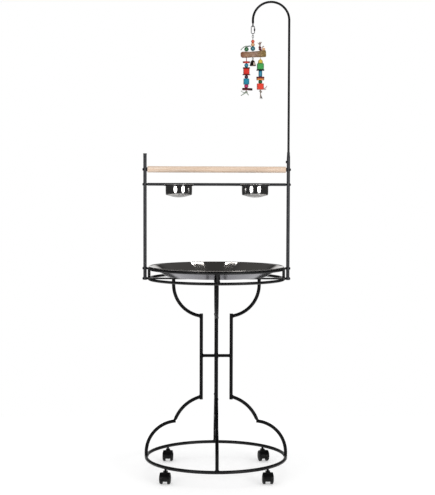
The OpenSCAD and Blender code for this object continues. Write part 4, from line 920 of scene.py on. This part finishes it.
# The lift grows towards the table's far edge, so that the edge melts into the white behind it
floorPlace = addNode(tree, "ShaderNodeTexCoord").outputs["Object"]
melt = ranged(tree, axesOf(tree, floorPlace)["Y"], *floorSet["lift"], *floorSet["melt"])
lift = reckon(tree, "MULTIPLY", seen, melt)
glow = addNode(tree, "ShaderNodeEmission", inputs={"Color": (1, 1, 1, 1), "Strength": lift})
matt = addNode(tree, "ShaderNodeBsdfDiffuse", inputs={"Color": hexToLinear(floorSet["colour"])})
both = addNode(tree, "ShaderNodeAddShader", inputs={0: glow.outputs[0], 1: matt.outputs[0]})
addNode(tree, "ShaderNodeOutputMaterial", inputs={"Surface": both.outputs[0]})
floorMesh.materials.append(floorPaint)

world = bpy.data.worlds.new("studio")
bpy.context.scene.world = world
sky = emptyTree(world)
# Levels, and the spans of direction over which each part of the surround fades in
worldSet = {"fill": 0.72, "darkRoom": 0.05, "ceiling": 0.13, "flag": 0.085, "flagZ": (0.81, 0.88),
            "ceilingZ": (0.25, 0.6), "ceilingY": (-0.1, 0.3), "backdropY": (0.88, 0.95), "backdropZ": (-0.3, -0.1),
            "sweepX": (0.1, 0.17), "sweepY": (0.5, 0.65), "sweepZ": (0.0, 0.05)}
rays = addNode(sky, "ShaderNodeLightPath").outputs
seen = reckon(sky, "MAXIMUM", rays["Is Camera Ray"], rays["Is Transmission Ray"])
# Gloss sees the white backdrop straight ahead, a narrow white sweep below it, a grey ceiling behind the stand with a
# dark flag above it, and a dark room elsewhere
way = addNode(sky, "ShaderNodeTexCoord").outputs["Generated"]
wayX, wayY, wayZ = axesOf(sky, way)


def fade(value, span, low=0.0, high=1.0):
    return ranged(sky, value, low, high, *worldSet[span], "SMOOTHSTEP")


ceiling = fade(wayZ, "flagZ", worldSet["ceiling"], worldSet["flag"])
overhead = reckon(sky, "MULTIPLY", ceiling, fade(wayZ, "ceilingZ"), fade(wayY, "ceilingY"))
ahead = reckon(sky, "MULTIPLY", fade(wayY, "backdropY"), fade(wayZ, "backdropZ"))
sideways = reckon(sky, "MAXIMUM", wayX, reckon(sky, "MULTIPLY", wayX, -1.0))
sweep = reckon(sky, "MULTIPLY", fade(sideways, "sweepX", 1.0, 0.0), fade(wayY, "sweepY"),
               fade(wayZ, "sweepZ", 1.0, 0.0))
room = reckon(sky, "MAXIMUM", overhead, ahead, sweep, worldSet["darkRoom"])
gloss = addNode(sky, "ShaderNodeMix", {"data_type": "FLOAT"}, {0: rays["Is Glossy Ray"], 2: worldSet["fill"], 3: room})
level = addNode(sky, "ShaderNodeMix", {"data_type": "FLOAT"}, {0: seen, 2: gloss.outputs[0], 3: 1.0})
surround = addNode(sky, "ShaderNodeBackground", inputs={"Color": (1, 1, 1, 1), "Strength": level.outputs[0]})
addNode(sky, "ShaderNodeOutputWorld", inputs={"Surface": surround.outputs[0]})

# Lamps: two oval windows beside the camera and two narrow soft boxes high behind the stand. The tray's sloping wall is
# a hollow mirror that swaps the boxes' sides, and each is turned so that it shows as a level patch under the rim
lampSet = [
    {"name": "leftWindow", "at": (-1.56, -2.6, 1.0), "aim": (0, 0, 1.0), "along": (2.6, -1.56, 0),
     "shape": "ELLIPSE", "size": (1.42, 0.62), "watts": 15},
    {"name": "rightWindow", "at": (1.79, -2.6, 1.0), "aim": (0, 0, 1.0), "along": (2.6, 1.79, 0),
     "shape": "ELLIPSE", "size": (1.42, 0.62), "watts": 26},
    {"name": "leftSoftBox", "at": (-0.146, 1.201, 2.462), "aim": (0.05, 0.22, 0.73), "along": (-0.149, 0.101, -0.082),
     "shape": "RECTANGLE", "size": (0.16, 0.048), "watts": 0.55},
    {"name": "rightSoftBox", "at": (0.23, 1.227, 2.433), "aim": (-0.06, 0.22, 0.73), "along": (0.175, 0.144, -0.13),
     "shape": "RECTANGLE", "size": (0.18, 0.048), "watts": 0.7},
]
for entry in lampSet:
    lamp = bpy.data.lights.new(entry["name"], "AREA")
    lamp.shape = entry["shape"]
    lamp.size, lamp.size_y = entry["size"]
    lamp.energy = entry["watts"]
    holder = placeObject(entry["name"], lamp)
    away = (Vector(entry["at"]) - Vector(entry["aim"])).normalized()
    upward = away.cross(Vector(entry["along"])).normalized()
    turn = Matrix((upward.cross(away), upward, away)).transposed()
    holder.matrix_world = Matrix.Translation(entry["at"]) @ turn.to_4x4()
print("stage and lamps made")
